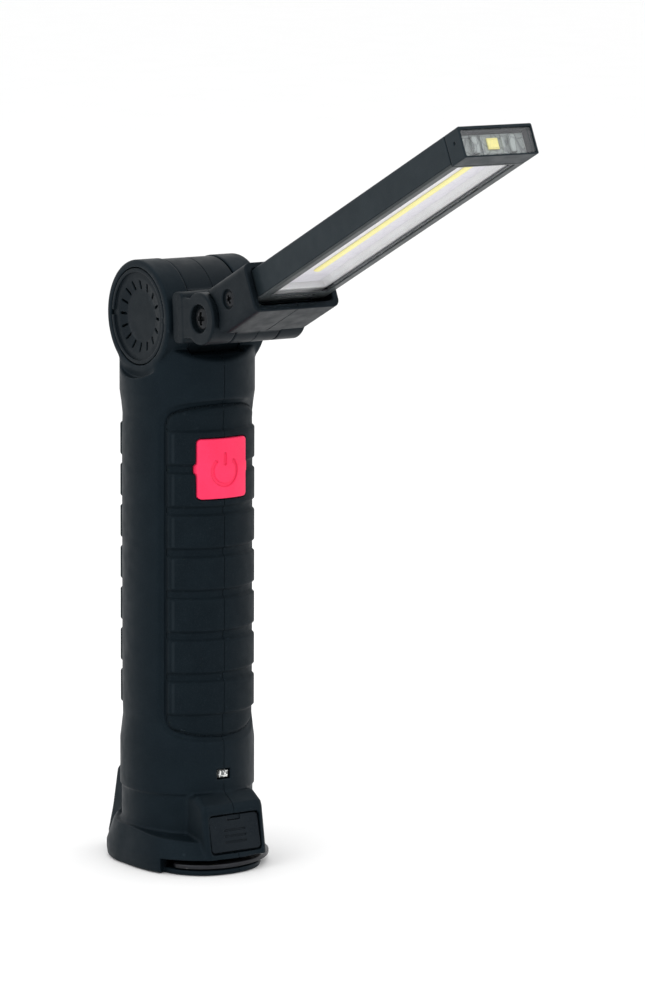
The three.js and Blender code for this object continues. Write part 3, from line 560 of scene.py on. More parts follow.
soft_touch = plastic("soft_touch", (0.0022, 0.0048, 0.0068), (0.0032, 0.0064, 0.0088), 0.5, tint=BLUISH)
grip_rubber = plastic(
    "grip", (0.0018, 0.0040, 0.0056), (0.0028, 0.0056, 0.0076), 0.6, 0.5, 0.016, 0.3, tint=BLUISH
)
arm_plastic = plastic(
    "arm_black", (0.0024, 0.0042, 0.0056), (0.0036, 0.0058, 0.0074), 0.45, 0.4, 0.02, tint=BLUISH
)
bar_plastic = plastic(
    "bar_black", (0.007, 0.0105, 0.0125), (0.010, 0.0145, 0.0170), 0.42, 0.3, 0.02, 0.3, 0.16, BLUISH
)
bezel_plastic = plastic("bezel_grey", (0.030, 0.035, 0.037), (0.042, 0.048, 0.050), 0.34, 0.3, 0.01, 0.2)
# painted shade darkens the sunk power symbol of the red silicone
red_silicone = plastic(
    "red_silicone", (0.80, 0.022, 0.085), (0.88, 0.030, 0.105), 0.5, 0.25, 0.01, 0.15, 0.2, painted_hollow_shade=0.8
)
port_rubber = plastic(
    "port_black", (0.002, 0.003, 0.004), (0.005, 0.006, 0.007), 0.3, 0.45, 0.03, 0.3, 0.17, BLUISH
)
hook_steel = metal("hook_black", (0.03, 0.032, 0.036), 0.4, (0.8, 0.8, 0.81))
black_screw = metal("screw_black", (0.022, 0.024, 0.027), 0.42, (0.12, 0.12, 0.13))
zinc_steel = metal("zinc", (0.62, 0.63, 0.65), 0.32)
magnet_nickel = metal("nickel", (0.66, 0.64, 0.6), 0.22)
nylon_washer = plastic("nylon", (0.6, 0.59, 0.55), (0.7, 0.69, 0.64), 0.5, wear=0.1)
switch_plastic = plastic("switch_black", (0.02, 0.02, 0.022), (0.03, 0.03, 0.032), 0.45)
cell_can = plastic("cell_sleeve", (0.03, 0.15, 0.33), (0.04, 0.19, 0.4), 0.35, wear=0.1)
green_board = painted_board("green_board", (0.01, 0.09, 0.035), (0.03, 0.2, 0.08))
white_board = painted_board("white_board", (0.72, 0.70, 0.75), (0.67, 0.65, 0.71), 5.0)
torch_grey = painted_board("torch_grey", (0.31, 0.35, 0.34), (0.17, 0.19, 0.19), 4.0)
clear_lens = clear_plastic("clear")
silver_reflector = plastic("silver", (0.66, 0.66, 0.67), (0.72, 0.72, 0.73), 0.5, wear=0.05, spec=0.3)
# painted glow: the phosphor of the COB line and of the torch LED shines faintly of itself
yellow_phosphor_painted_glow = phosphor_with_painted_glow("phosphor", (0.86, 0.78, 0.24), (1.0, 0.9, 0.3), 0.12)
# painted glints: the light pipe's net of bright lines stands in for light caught by its facets
light_pipe_painted_glints = painted_board("light_pipe_painted_glints", (0.10, 0.11, 0.11), (0.85, 0.86, 0.84), 1.6)

# ---------- handle


def wall_radius(z):
    """The handle's radius at each height, in the side strips between the grips."""
    heights = [0, RING_Z - 0.5, RING_Z + 0.4, 43.5, 47.5, 52, 60, 150, 160, 164, 168.2, 200]
    radii = [NECK_R, NECK_R, HANDLE_R, HANDLE_R, 23.4, 22.9, WAIST_R, WAIST_R, 22.9, 23.3]
    radii += [HANDLE_R, HANDLE_R]
    return np.interp(z, heights, radii)


def grip_zone(x, y, z):
    """Distance to the grip's outline on the handle's skin: round corners and arched ends."""
    mean_r = 23.5
    along = np.arctan2(np.abs(x), np.abs(y)) * mean_r
    middle = (GRIP_LOW + GRIP_HIGH) / 2
    pad = rounded(along, z - middle, GRIP_HALF, (GRIP_HIGH - GRIP_LOW) / 2, 9.0)
    arch_r = 62.0
    arch = hypot(along, z - (GRIP_HIGH - arch_r)) - arch_r
    foot = hypot(along, z - (GRIP_LOW + arch_r)) - arch_r
    return both(both(pad, arch, 2.0), foot, 2.0)


SKIRT_POINTS = [  # plan outline: round behind, fuller at the front left, drawn in at the front right
    (-26.4, 8), (-26.8, 0), (-26.6, -10), (-24.6, -19.5), (-19.5, -27), (-12.5, -32.4), (-4, -34),
    (5, -33.6), (11.8, -29.6), (16, -23.6), (20.5, -17), (25, -8.5), (26.6, 0), (26.4, 8),
    (23.6, 16.4), (18.5, 23.6), (12.8, 29.5), (0, 32), (-12.8, 29.5), (-18.5, 23.6), (-23.6, 16.4),
]
SKIRT_SCALE = 0.965
LIP_POINTS = [  # plan outline of the thin plate under the hook
    (-20, 10), (-21.6, 0), (-21.6, -14), (-21.2, -21), (-18.2, -27), (-12.4, -32), (-4, -33.8),
    (3, -33.2), (8.4, -31), (12.6, -27.6), (17.5, -21), (22.6, -12.8), (25.3, -4), (25.2, 4), (20, 10),
]
HOOK_POINTS = [  # plan outline, folded away under the skirt: the outer side, then the inner one
    (-17.4, -20.4), (-20.2, -22.6), (-19.3, -26.4), (-14.6, -31.2), (-8, -33.9), (0, -34.1),
    (8.4, -31.6), (16.4, -26.4), (22.4, -18.6), (25.2, -10), (24.6, -4.4), (20.6, -1.7), (16.9, -4),
    (16.8, -9), (15.6, -15.8), (10.4, -22), (2.6, -26.4), (-5, -27), (-11.2, -25), (-13.6, -21.4),
]

skirt_plan = outline(smooth_closed([(SKIRT_SCALE * a, SKIRT_SCALE * b) for a, b in SKIRT_POINTS]))
lip_plan = outline(smooth_closed(LIP_POINTS))
port_side = outline(
    [(-15, 0), (-33.8, 0), (-32.9, 5.4), (-30.1, 22.4), (-29.2, 24.2), (-24.2, 27.2), (-15, 27.2)], 40
)
boss_side = outline(
    [(15, -3), (32.4, -3), (33.4, 1.2), (33.5, 5), (30.4, 14.5), (27.2, 28.6), (25.6, 30.2), (15, 30.2)], 40
)
slot_plan = outline(
    [(-24.6, -50), (-24.6, -20), (-20, -17.5), (-12, -8), (10, 6), (50, 6), (50, -50)], 20, 0.3
)


def base_outer(x, y, z):
    """Skirt, port block, rear boss: everything below the ring step that stands out of the tube."""
    r = hypot(x, y)
    swell = np.interp(z, [-1, 0, 2.8, 5.4], [0.4, 0.6, 1.0, 1.0])
    lean = np.clip((z - SLOT_HIGH) / (LEDGE_Z + 1 - SLOT_HIGH), 0, 1)
    side = (skirt_plan(x / (1 - 0.075 * lean), y / (1 - 0.17 * lean)) - swell) * 0.93
    ledge = z - LEDGE_Z - 0.075 * np.minimum(y + 1, 0) + 0.1 * (r - NECK_R)
    skirt = both(both(side, ledge, 0.55), -z, 0.8)
    port = both(port_side(y, z), np.abs(x) - BLOCK_HALF, 2.2)
    port = both(port, SLOT_HIGH - 1 - z)
    boss = both(both(boss_side(y, z), np.abs(x) - BLOCK_HALF, 1.5), -z, 0.8)
    return either(either(skirt, port, 0.9), boss, 0.8)


def handle_outer(x, y, z):
    r = hypot(x, y)
    zone = grip_zone(x, y, z)
    skin = wall_radius(z)
    valley = 2.6  # width of the shallow dip round each grip
    skin = np.where(zone < valley, VALLEY_R + (skin - VALLEY_R) * ease(zone / valley), skin)
    tube = both(r - skin, slab(z, 4, 200))
    top, flat_half, slope = 184.9, 16.9, 0.594
    roof = (np.abs(y) * slope + z - (top + flat_half * slope)) / math.hypot(1, slope)
    body = both(tube, both(roof, z - top, 1.0), 0.9)
    across = hypot(y, z - BARREL_Z)
    scoop = both(across - RECESS_R, BARREL_HALF - np.abs(x), 0.4)
    body = without(body, scoop, 0.5)
    barrel = disc(across, np.abs(x), BARREL_R, -1, BARREL_HALF, 1.0)
    body = either(body, barrel, 0.7)
    return either(body, base_outer(x, y, z), 0.9)


def handle_inner(x, y, z):
    r = hypot(x, y)
    bore = np.interp(z, [0, 28, 31, 168, 172, 200], [20.9, 20.9, 19.9, 19.9, 14.9, 14.9])
    tube = all_of(r - bore, slab(z, FLOOR_Z, 172))
    middle = np.abs(x) - 10.6
    port = all_of(middle, port_side(y, z) + 3.4, slab(z, FLOOR_Z, 22))
    boss = all_of(middle, boss_side(y, z) + 3.2, slab(z, FLOOR_Z, 26))
    return any_of(tube, port, boss)


def ribs(x, y, z):
    """Plates that hold the cell, and the screw bosses."""
    cell = hypot(x, y - 1.5)
    r = hypot(x, y)
    pieces = []
    for low, hole in ((57.9, 5.0), (74.0, 9.6), (111.2, 9.6), (125.5, 5.0)):
        pieces.append(all_of(slab(z, low, low + 1.6), r - 20.4, hole - cell, -8.5 - y))
    for screw_y, screw_z, head in SCREWS:
        pieces.append(disc(hypot(y - screw_y, z - screw_z), np.abs(x), 3.7, -1, head - 2))
    return any_of(*pieces)


def button_gap(x, z, grow):
    """The button's front outline with its two ears, made wider by grow."""
    pad = rounded(x, z - BUTTON_Z, BUTTON_HALF + grow, BUTTON_HALF_HIGH + grow, 1.5 + grow)
    return any_of(pad, rounded(x, z - BUTTON_Z, 10.35 + grow, 2.0 + grow, 0.8))


def handle_openings(x, y, z):
    """Everything that is cut out of the two shells."""
    r = hypot(x, y)
    across = hypot(y, z - BARREL_Z)
    deep = np.abs(x)
    px, py, pz = to_cover(x, y, z)
    pocket = rounded(px, pz + 0.15, COVER_HALF + 0.3, 6.95, 1.7)
    cuts = [
        all_of(across - DRUM_R - 0.6, deep - CHEEK_IN),  # well for the arm's drum
        all_of(deep - CHEEK_IN, 183.0 - z),  # the well is open above
        across - 3.3,  # fold bolt
        all_of(across - CAP_R - 0.35, 18.3 - deep),  # seats of the barrel caps
        all_of(across - 6.4, slab(deep, 14.3, 19)),  # bolt head and nut
        all_of(grip_zone(x, y, z) + 0.25, 21.9 - r),  # seats of the grips
        all_of(button_gap(x, z, 0.3), y + 16),
        all_of(pocket, slab(py, -10, 1.8)),  # port cover
        block(px, py, pz, (-5, 5), (-1, 6), (-2.9, 2.2)),  # port
        block(x, y, z, (-2.7, 2.7), (-40, -17), (31.9, 35.5)),  # charge light
        all_of(slot_plan(x, y), HUB_R - r, slab(z, -3, SLOT_HIGH)),  # room for the hook
        all_of(away(x, y, PIVOT) - PIN_R, slab(z, 4, 6.8)),
    ]
    for screw_y, screw_z, head in SCREWS:
        hole = hypot(y - screw_y, z - screw_z)
        cuts.append(all_of(hole - 1.75, slab(x, -9, head)))
        cuts.append(all_of(hole - 3.1, head - 2.2 - x))
    return any_of(*cuts)


def handle_solid(x, y, z):
    body = without(handle_outer(x, y, z), handle_inner(x, y, z))
    body = without(any_of(body, ribs(x, y, z)), handle_openings(x, y, z), 0.3)
    lip = both(lip_plan(x, y), slab(z, 0, SLOT_LOW), 0.5)
    lip = without(lip, all_of(away(x, y, PIVOT) - PIN_R, 0.6 - z))
    cup_seat = all_of(hypot(x, y) - CUP_R - 0.3, z - SLOT_HIGH)
    return without(any_of(body, lip), cup_seat)


def half(distance, side, radius=0.2):
    """One half of a piece that is split on the middle plane: side is -1 for left, 1 for right."""
    return lambda x, y, z: both(distance(x, y, z), SEAM - side * x, radius)


def facing(side, places):
    """Rising grid lines, mirrored if side is negative."""
    return places if side > 0 else -places[::-1]


def seam_lines(reach, side, spacing=0.45):
    """Grid lines across the width, close together beside the seam."""
    return facing(side, lines((0.0, 0.3, 0.06), (0.3, 0.9, 0.2), (0.9, reach, spacing)))


def build_handle():
    ys = lines((-35, 35, 0.5))
    zs = lines((-0.6, 8, 0.4), (8, 37, 0.5), (37, 43, 1), (43, 56, 0.5), (56, 131, 1.5))
    zs = np.concatenate([zs, lines((131.5, 157, 0.9), (157, 176, 0.5), (176, 216, 0.45))])
    for side, word in SIDES:
        name = "handle_shell_" + word
        grid = (seam_lines(28.2, side), ys, zs)
        solid = half(handle_solid, side)
        moulded(name, "_skin", solid, grid, soft_touch, "handle_body")


def grip_pad(x, y, z):
    """A pad with its raised bands and its sunk edge."""
    r = hypot(x, y)
    heights, radii = [0, GRIP_LOW], [23.1, 23.2]
    flank = 0.9  # height of the slope on either side of a band
    for i in range(BAND_COUNT):
        low = BAND_FIRST + i * BAND_PITCH
        heights += [low - flank - 0.15, low - 0.1, low + 0.25, low + BAND_HEIGHT - 0.25]
        radii += [GROOVE_R, BAND_R - 0.12, BAND_R, BAND_R]
        heights += [low + BAND_HEIGHT + 0.1, low + BAND_HEIGHT + flank + 0.15]
        radii += [BAND_R - 0.12, GROOVE_R]
    heights += [GRIP_HIGH - 5, GRIP_HIGH]
    radii += [23.45, 23.55]
    skin = np.interp(z, heights, radii)
    zone = grip_zone(x, y, z)
    skin = VALLEY_R + (skin - VALLEY_R) * ease((-zone - 0.5) / 2.2)
    return both(both(r - skin, 22.15 - r), zone + 0.4, 0.15)


def front_grip_pad(x, y, z):
    return without(grip_pad(x, y, z), button_gap(x, z, 0.35), 0.25)


def build_grips():
    """Front and rear pads, each split on the middle plane."""
    zs = lines((45, 168, 0.36))
    for side, word in SIDES:
        for front, where in ((-1, "front"), (1, "rear")):
            ys = lines((-24.6, -11.5, 0.4)) if front < 0 else lines((11.5, 24.6, 0.4))
            pad = front_grip_pad if front < 0 else grip_pad
            name = f"{where}_grip_{word}"
            grid = (seam_lines(20.6, side, 0.42), ys, zs)
            moulded(name, "_pad", half(pad, side), grid, grip_rubber, "handle_body")


def build_button():
    """Silicone cap with side ears and a sunk power symbol."""
    ring_z, ring_r, stroke, depth = BUTTON_Z - 0.9, 4.9, 0.65, 0.6

    def cap(x, y, z):
        r = hypot(x, y)
        dz = z - ring_z
        ring = np.abs(hypot(x, dz) - ring_r) - stroke
        opening = np.abs(np.arctan2(x, dz)) * ring_r - 3.4
        ring = both(ring, -opening, 0.3)
        bar = rounded(x, dz - 4.25, stroke, 2.3, stroke)
        sink = depth * np.clip((0.1 - any_of(ring, bar)) / 0.2, 0, 1)
        outer = both(button_gap(x, z, 0.0), r - BUTTON_R + sink, 0.55)
        outer = both(outer, slab(y, -30, -13.9))
        inside = block(x, y, z, (-8.5, 8.5), (-22.6, 0), (BUTTON_Z - 9.1, BUTTON_Z + 9.1))
        flange = block(x, y, z, (-11.8, 11.8), (-15.4, -13.9), (BUTTON_Z - 12.2, BUTTON_Z + 12.2))
        post = disc(hypot(x, z - BUTTON_Z), y, 2.2, -23, -18.35)
        return any_of(without(any_of(outer, flange), inside), post)

    ys = lines((-25.2, -21, 0.2), (-21, -13, 0.4))
    grid = (lines((-12.5, 12.5, 0.2)), ys, lines((129.8, 155.8, 0.2)))
    moulded("power_button", "_cap", cap, grid, red_silicone, "button_body")


def build_port_cover():
    """Rubber flap with a thumb notch and three low ribs."""

    def flap(x, y, z):
        face = -0.1 + 0.18 * ((x / COVER_HALF) ** 2 + (z / COVER_HALF_HIGH) ** 2) * 0.5
        pad = both(rounded(x, z, COVER_HALF, COVER_HALF_HIGH, 1.5), face - y, 0.5)
        pad = both(pad, y - 1.5, 0.2)
        notch = block(x, y, z, (-2.8, 2.8), (-2, 0.75), (COVER_HALF_HIGH - 1.9, COVER_HALF_HIGH + 2), 0.5)
        pad = without(pad, notch, 0.3)
        for i in range(3):
            middle = -3.1 + 2.1 * i
            groove = rounded(x, z - middle, 4.6, 0.34, 0.34)
            pad = without(pad, both(groove, y - 0.38), 0.15)
        return any_of(pad, block(x, y, z, (-3.6, 3.6), (1.2, 2.6), (-1.6, 0.2), 0.2))

    grid = (lines((-11, 11, 0.2)), lines((-0.7, 1.7, 0.16), (1.7, 3.1, 0.2)), lines((-7.1, 7.1, 0.2)))
    moulded("usb_cover", "_flap", flap, grid, port_rubber, "cover_body", COVER_FRAME)


def build_hook():
    plan = outline(smooth_closed(HOOK_POINTS), 6, 0.1)

    def plate(x, y, z):
        body = both(plan(x, y), slab(z, 2.4, 3.9), 0.4)
        return without(body, away(x, y, PIVOT) - PIN_R, 0.2)

    grid = (lines((-21.5, 26.2, 0.3)), lines((-35, -0.8, 0.3)), lines((2.1, 4.2, 0.17)))
    moulded("swing_hook", "_plate", plate, grid, hook_steel, "hook_body")


def build_barrel_caps():
    """Slotted covers: a raised rim with two notches, a sunk cone and sixteen slots round it."""
    slots = 16

    def cap(side):
        def solid(x, y, z):
            deep = side * x
            dz = z - BARREL_Z
            r = hypot(y, dz)
            body = disc(r, deep, CAP_R, 18.6, 20.8, 0.3)
            dish = disc(r, deep, 15.5, 20.0, 25)
            body = without(body, dish, 0.3)
            bowl = np.interp(r, [0, 9.2, 13.2, 14], [19.0, 19.0, 20.0, 20.2]) - deep
            body = without(body, all_of(bowl, r - 13.2), 0.15)
            turn = np.arctan2(dz, y)
            pitch = 2 * math.pi / slots
            local = turn - pitch * np.round(turn / pitch)
            slot = rounded(r - 11.05, local * r, 1.65, 0.46, 0.46)
            body = without(body, slot, 0.12)
            notch = all_of(rounded(np.abs(y) - 16.6, dz, 1.5, 0.9, 0.4), 19.9 - deep)
            return without(body, notch, 0.1)

        return solid

    for side, word in SIDES:
        xs = facing(side, lines((18.4, 19.6, 0.3), (19.6, 21.1, 0.15)))
        grid = (xs, lines((-17.4, 17.4, 0.22)), lines((BARREL_Z - 17.4, BARREL_Z + 17.4, 0.22)))
        moulded("barrel_cap_" + word, "_cover", cap(side), grid, arm_plastic, "handle_body")


def build_base_fittings():
    """Pot magnet in its cup, and the clear window of the charge light."""

    def magnet(x, y, z):
        return disc(hypot(x, y), z, MAGNET_R, 0, 3.9, 0.3)

    def cup(x, y, z):
        r = hypot(x, y)
        body = disc(r, z, CUP_R, 0, 5.1, 0.4)
        return without(body, disc(r, z, MAGNET_R + 0.3, -1, 4.2, 0.1), 0.15)

    def pipe(x, y, z):
        window = block(x, y, z, (-2.05, 2.05), (-23.5, -14.6), (32.4, 35.0), 0.5)
        return any_of(window, block(x, y, z, (-3.6, 3.6), (-19, -17.8), (31, 36.4), 0.2))

    flat = lines((-14.6, 14.6, 0.4))
    body = "handle_body"
    disc_grid = (flat, flat, lines((-0.3, 4.3, 0.2)))
    moulded("base_magnet", "_disc", magnet, disc_grid, magnet_nickel, body)
    cup_grid = (flat, flat, lines((-0.3, 5.5, 0.2)))
    moulded("magnet_cup", "_shell", cup, cup_grid, zinc_steel, body)
    pipe_grid = (lines((-4, 4, 0.2)), lines((-24.1, -14.2, 0.2)), lines((30.6, 36.8, 0.2)))
    moulded("charge_indicator", "", pipe, pipe_grid, light_pipe_painted_glints, body)


# ---------- folding arm


def arm_solid(x, y, z):
    """Drum, block, two lugs and the webs between block and lugs, in the arm's own frame."""
    deep = np.abs(x)
    r = hypot(y, z)
    tilt_r = hypot(y + ARM_LENGTH, z)
    drum = disc(r, deep, DRUM_R, -1, DRUM_HALF, 0.7)
    neck = all_of(deep - DRUM_HALF, slab(y, -23, -10), np.abs(z) - ARM_HALF_HIGH)
    side = rounded(y + (BLOCK_FRONT + BLOCK_BACK) / 2, z, 3.65, ARM_HALF_HIGH, 2.6)
    body = both(side, deep - ARM_HALF, 0.9)
    lug = disc(tilt_r, deep, LUG_R, -1, ARM_HALF, 0.7)
    reach = (-ARM_LENGTH, ARM_SCREW_Y)
    plate = all_of(slab(deep, SOCKET_HALF + 0.4, ARM_HALF), slab(y, *reach))
    plate = both(plate, np.abs(z) - 7, 0.5)
    web = block(x, y, z, (-ARM_HALF, ARM_HALF), reach, (-4.2, 4.2), 0.7)
    whole = either(either(body, web, 0.6), any_of(lug, plate), 0.35)
    whole = either(either(drum, neck, 0.5), whole, 0.4)
    screw_r = hypot(y - ARM_SCREW_Y, z)
    cuts = any_of(
        all_of(tilt_r - LUG_R - 0.5, deep - LUG_IN),  # room for the socket's tongue
        all_of(y + ARM_LENGTH, deep - LUG_IN),
        all_of(r - 15.8, deep - 8.2, 5.6 - r),  # inside of the drum
        all_of(slab(y, -25.6, -22.2), np.abs(z) - 6.6, deep - 17.4, 3.4 - screw_r),  # inside of the block
        all_of(r - 8.9, 9.3 - deep),  # washers beside the drum
        r - 3.3,  # fold bolt
        tilt_r - 2.3,  # tilt screw
        all_of(tilt_r - 5, 17.1 + x),
        all_of(all_of(np.abs(z), np.abs(z) * 0.5 + np.abs(y + ARM_LENGTH) * 0.866) - 3.75, 16.3 - x),  # nut
        all_of(screw_r - 1.7, -12 - x),  # arm screw
        all_of(screw_r - 3, 17.6 - x),
    )
    return without(whole, cuts, 0.3)


def build_arm():
    """The left and right halves; the grid reaches past the drum, so that it is closed all round."""
    reach = DRUM_R + 0.5
    ys = lines((-47, -18.2, 0.34), (-18.2, reach, 0.45))
    zs = lines((-reach, reach, 0.36))
    for side, word in SIDES:
        name = f"arm_{word}_half"
        grid = (seam_lines(20, side, 0.36), ys, zs)
        solid = half(arm_solid, side)
        moulded(name, "_body", solid, grid, arm_plastic, "arm_body", ARM_FRAME)


# ---------- light head

socket_side = outline(
    [(SOCKET_FRONT, SOCKET_LOW), (-9.8, SOCKET_LOW), (-4, -4), (-3, 4), (-5.2, SOCKET_HIGH),
     (SOCKET_FRONT, SOCKET_HIGH)]
)


def socket_solid(x, y, z):
    """Knuckle and the open mouth that the bar is seated in, in the head's own frame."""
    deep = np.abs(x)
    r = hypot(y, z)
    high = (SOCKET_LOW + SOCKET_HIGH) / 2
    tall = (SOCKET_HIGH - SOCKET_LOW) / 2
    plan = rounded(x, z - high, SOCKET_HALF, tall, 2.9)
    body = both(plan, socket_side(y, z), 0.6)
    body = without(body, r - 9.6, 0.4)
    tongue_half = LUG_IN - 0.3
    tongue = disc(r, deep, LUG_R, -1, tongue_half, 0.5)
    body = any_of(body, tongue, block(x, y, z, (-tongue_half, tongue_half), (-17, 0), (-7.8, 7.8)))
    hole = away(y, z, SOCKET_SCREW)
    cuts = any_of(
        all_of(rounded(x, z + 0.15, 15.1, 6.65, 1.4), slab(y, -40, -14.2)),  # mouth for the bar
        r - 2.1,  # tilt screw
        all_of(r - 5.9, 8 - deep),  # washers
        hole - 1.8,
        all_of(hole - 3.4, 16.3 - deep),
        block(x, y, z, (-1.6, 1.6), (-16, -6), (-1.6, 1.6)),  # wires
    )
    return without(body, cuts, 0.4)


def build_sockets():
    ys = lines((-32, 9.8, 0.36))
    zs = lines((-9.8, 9.6, 0.34))
    for side, word in SIDES:
        name = "socket_" + word
        grid = (seam_lines(18, side, 0.36), ys, zs)
        solid = half(socket_solid, side)
        moulded(name, "_shell", solid, grid, arm_plastic, "head_body", HEAD_FRAME)


def from_tip(near, far):
    """Places along the bar, given as distances from its tip."""
    return near - HEAD_LENGTH, far - HEAD_LENGTH


def head_piece(node, ending, solid, grid, material):
    moulded(node, ending, solid, grid, material, "head_body", HEAD_FRAME)


def bar_section(x, y, z, near, far, edge):
    """A length of the bar's full section."""
    plan = rounded(x, z - BAR_MIDDLE, BAR_HALF, BAR_TALL, 0.6)
    return both(plan, slab(y, *from_tip(near, far)), edge)


def across_bar(out, inner, fine, coarse):
    """Grid lines across the bar, fine between inner and out on either side."""
    return lines((-out, -inner, fine), (-inner, inner, coarse), (inner, out, fine))


def along_bar(near, far, tip, coarse, root):
    """Grid lines between two distances from the tip; tip and root are (length, spacing) of the fine ends."""
    low, high = from_tip(near, far)
    first, last = low + tip[0], high - root[0]
    return lines((low, first, tip[1]), (first, last, coarse), (last, high, root[1]))


def build_bar():
    """The bar's channel, open towards the window, and the frame round the window."""

    def channel(x, y, z):
        body = both(bar_section(x, y, z, 8.3, 146, 0.25), BEZEL_TOP + 0.12 - z, 0.12)
        room = all_of(np.abs(x) - 12.9, slab(y, *from_tip(7, 139)), z - 4.6)
        hole = all_of(away(y, z, SOCKET_SCREW) - 1.8, 11 - np.abs(x))
        wires = block(x, y, z, (-4, 4), from_tip(130, 150), (0, 3))
        return without(body, any_of(room, hole, wires), 0.1)

    xs = across_bar(14.95, 12.6, 0.16, 1.2)
    ys = along_bar(8.0, 146.3, (1.4, 0.12), 1.1, (8, 0.35))
    zs = lines((-4.6, -3, 0.12), (-3, 4, 0.8), (4, 6.4, 0.16))
    head_piece("lamp_body", "_shell", channel, (xs, ys, zs), bar_plastic)

    def bezel(x, y, z):
        plate = both(bar_section(x, y, z, 8.3, 134, 0.2), z - BEZEL_TOP, 0.1)
        window = both(np.abs(x) - WINDOW_HALF, slab(y, *from_tip(9.4, 128.2)), 0.5)
        slit = both(np.abs(x) - 7.6, slab(y, *from_tip(129, 131.3)), 0.4)
        return without(plate, any_of(window, slit), 0.15)

    side = lines((-14.9, -14.2, 0.14), (-14.2, -11.9, 0.3), (-11.9, -10.9, 0.14), (-10.9, -7.3, 0.5))
    xs = np.concatenate([side, lines((-7.3, 7.3, 1.2))[1:-1], -side[::-1]])
    grid = (xs, along_bar(8.0, 134.3, (2.2, 0.14), 1.2, (7, 0.2)), lines((-4.75, -3.4, 0.11)))
    head_piece("lens_bezel", "_frame", bezel, grid, bezel_plastic)


def build_end_cap():
    """The bar's tip: an open frame for the torch, with a dimple in each side."""

    def cap(x, y, z):
        frame_hole = all_of(rounded(x, z - 0.55, 14.0, 4.55, 0.6), slab(y, *from_tip(-1, 6.2)))
        wires = block(x, y, z, (-2.5, 2.5), from_tip(5, 10), (0, 3))
        dimple = hypot(y - from_tip(3.7, 0)[0], z - 1.6)
        dimple = all_of(dimple - 0.6, BAR_HALF - 0.45 - np.abs(x))
        return without(bar_section(x, y, z, 0, 8, 0.3), any_of(frame_hole, wires, dimple), 0.12)

    xs = across_bar(15, 13.4, 0.12, 0.9)
    low, high = from_tip(-0.3, 8.3)
    zs = lines((-4.8, -3.4, 0.12), (-3.4, 4.4, 0.2), (4.4, 6.4, 0.12))
    grid = (xs, lines((low, low + 1, 0.12), (low + 1, high, 0.25)), zs)
    head_piece("head_end_cap", "_shell", cap, grid, bar_plastic)


def build_lenses():
    """The long window with its step and the slit beside it, and the torch's window with two ridges."""
    back = BEZEL_TOP + 0.8

    def cob_lens(x, y, z):
        step = both(np.abs(x) - WINDOW_HALF + 0.3, slab(y, *from_tip(9.7, 127.9)), 0.4)
        slit = both(np.abs(x) - 7.3, slab(y, *from_tip(129.3, 131)), 0.3)
        face = both(any_of(step, slit), slab(z, BAR_LOW + 0.3, back), 0.12)
        rim = all_of(np.abs(x) - 12.6, slab(y, *from_tip(8.7, 132.4)), slab(z, BEZEL_TOP + 0.3, back))
        return any_of(face, rim)

    xs = across_bar(12.9, 10.8, 0.15, 1.2)
    ys = along_bar(8.4, 132.7, (2, 0.15), 1.2, (6, 0.2))
    grid = (xs, ys, lines((BAR_LOW + 0.05, BEZEL_TOP + 1.1, 0.12)))
    head_piece("cob_lens", "_window", cob_lens, grid, clear_lens)

    def torch_lens(x, y, z):
        plan = rounded(x, z - 0.55, 13.75, 4.3, 0.5)
        plate = both(plan, slab(y, *from_tip(0.15, 1.3)), 0.15)
        ridge = np.abs(np.abs(x) - 10.2) - 0.35
        ridges = all_of(ridge, np.abs(z - 0.55) - 3.6, slab(y, *from_tip(1.2, 1.75)))
        return any_of(plate, ridges)

    low, high = from_tip(-0.05, 2.0)
    grid = (lines((-14, 14, 0.2)), lines((low, high, 0.13)), lines((-4.1, 5.2, 0.18)))
    head_piece("torch_lens", "_window", torch_lens, grid, clear_lens)


def build_reflector():
    """Tray with sloping walls round the COB board."""

    def tray(x, y, z):
        body = both(np.abs(x) - 12.5, slab(y, *from_tip(9.2, 132.2)), 0.6)
        body = both(body, slab(z, -2.6, 0.4), 0.1)
        lean, end_lean = 0.84, 0.3  # outwards for each millimetre of the wall's height
        wall = (np.abs(x) - 9 - (0.6 - z) * lean) / math.hypot(1, lean)
        ends = (slab(y, *from_tip(11.4, 126.2)) - (0.6 - z) * end_lean) / math.hypot(1, end_lean)
        return without(body, all_of(wall, ends, z - 0.15), 0.15)

    ys = along_bar(8.9, 132.5, (4, 0.25), 1.5, (8, 0.25))
    grid = (across_bar(12.8, 8.5, 0.25, 1.2), ys, lines((-2.9, 0.7, 0.2)))
    head_piece("reflector_tray", "_shell", tray, grid, silver_reflector)


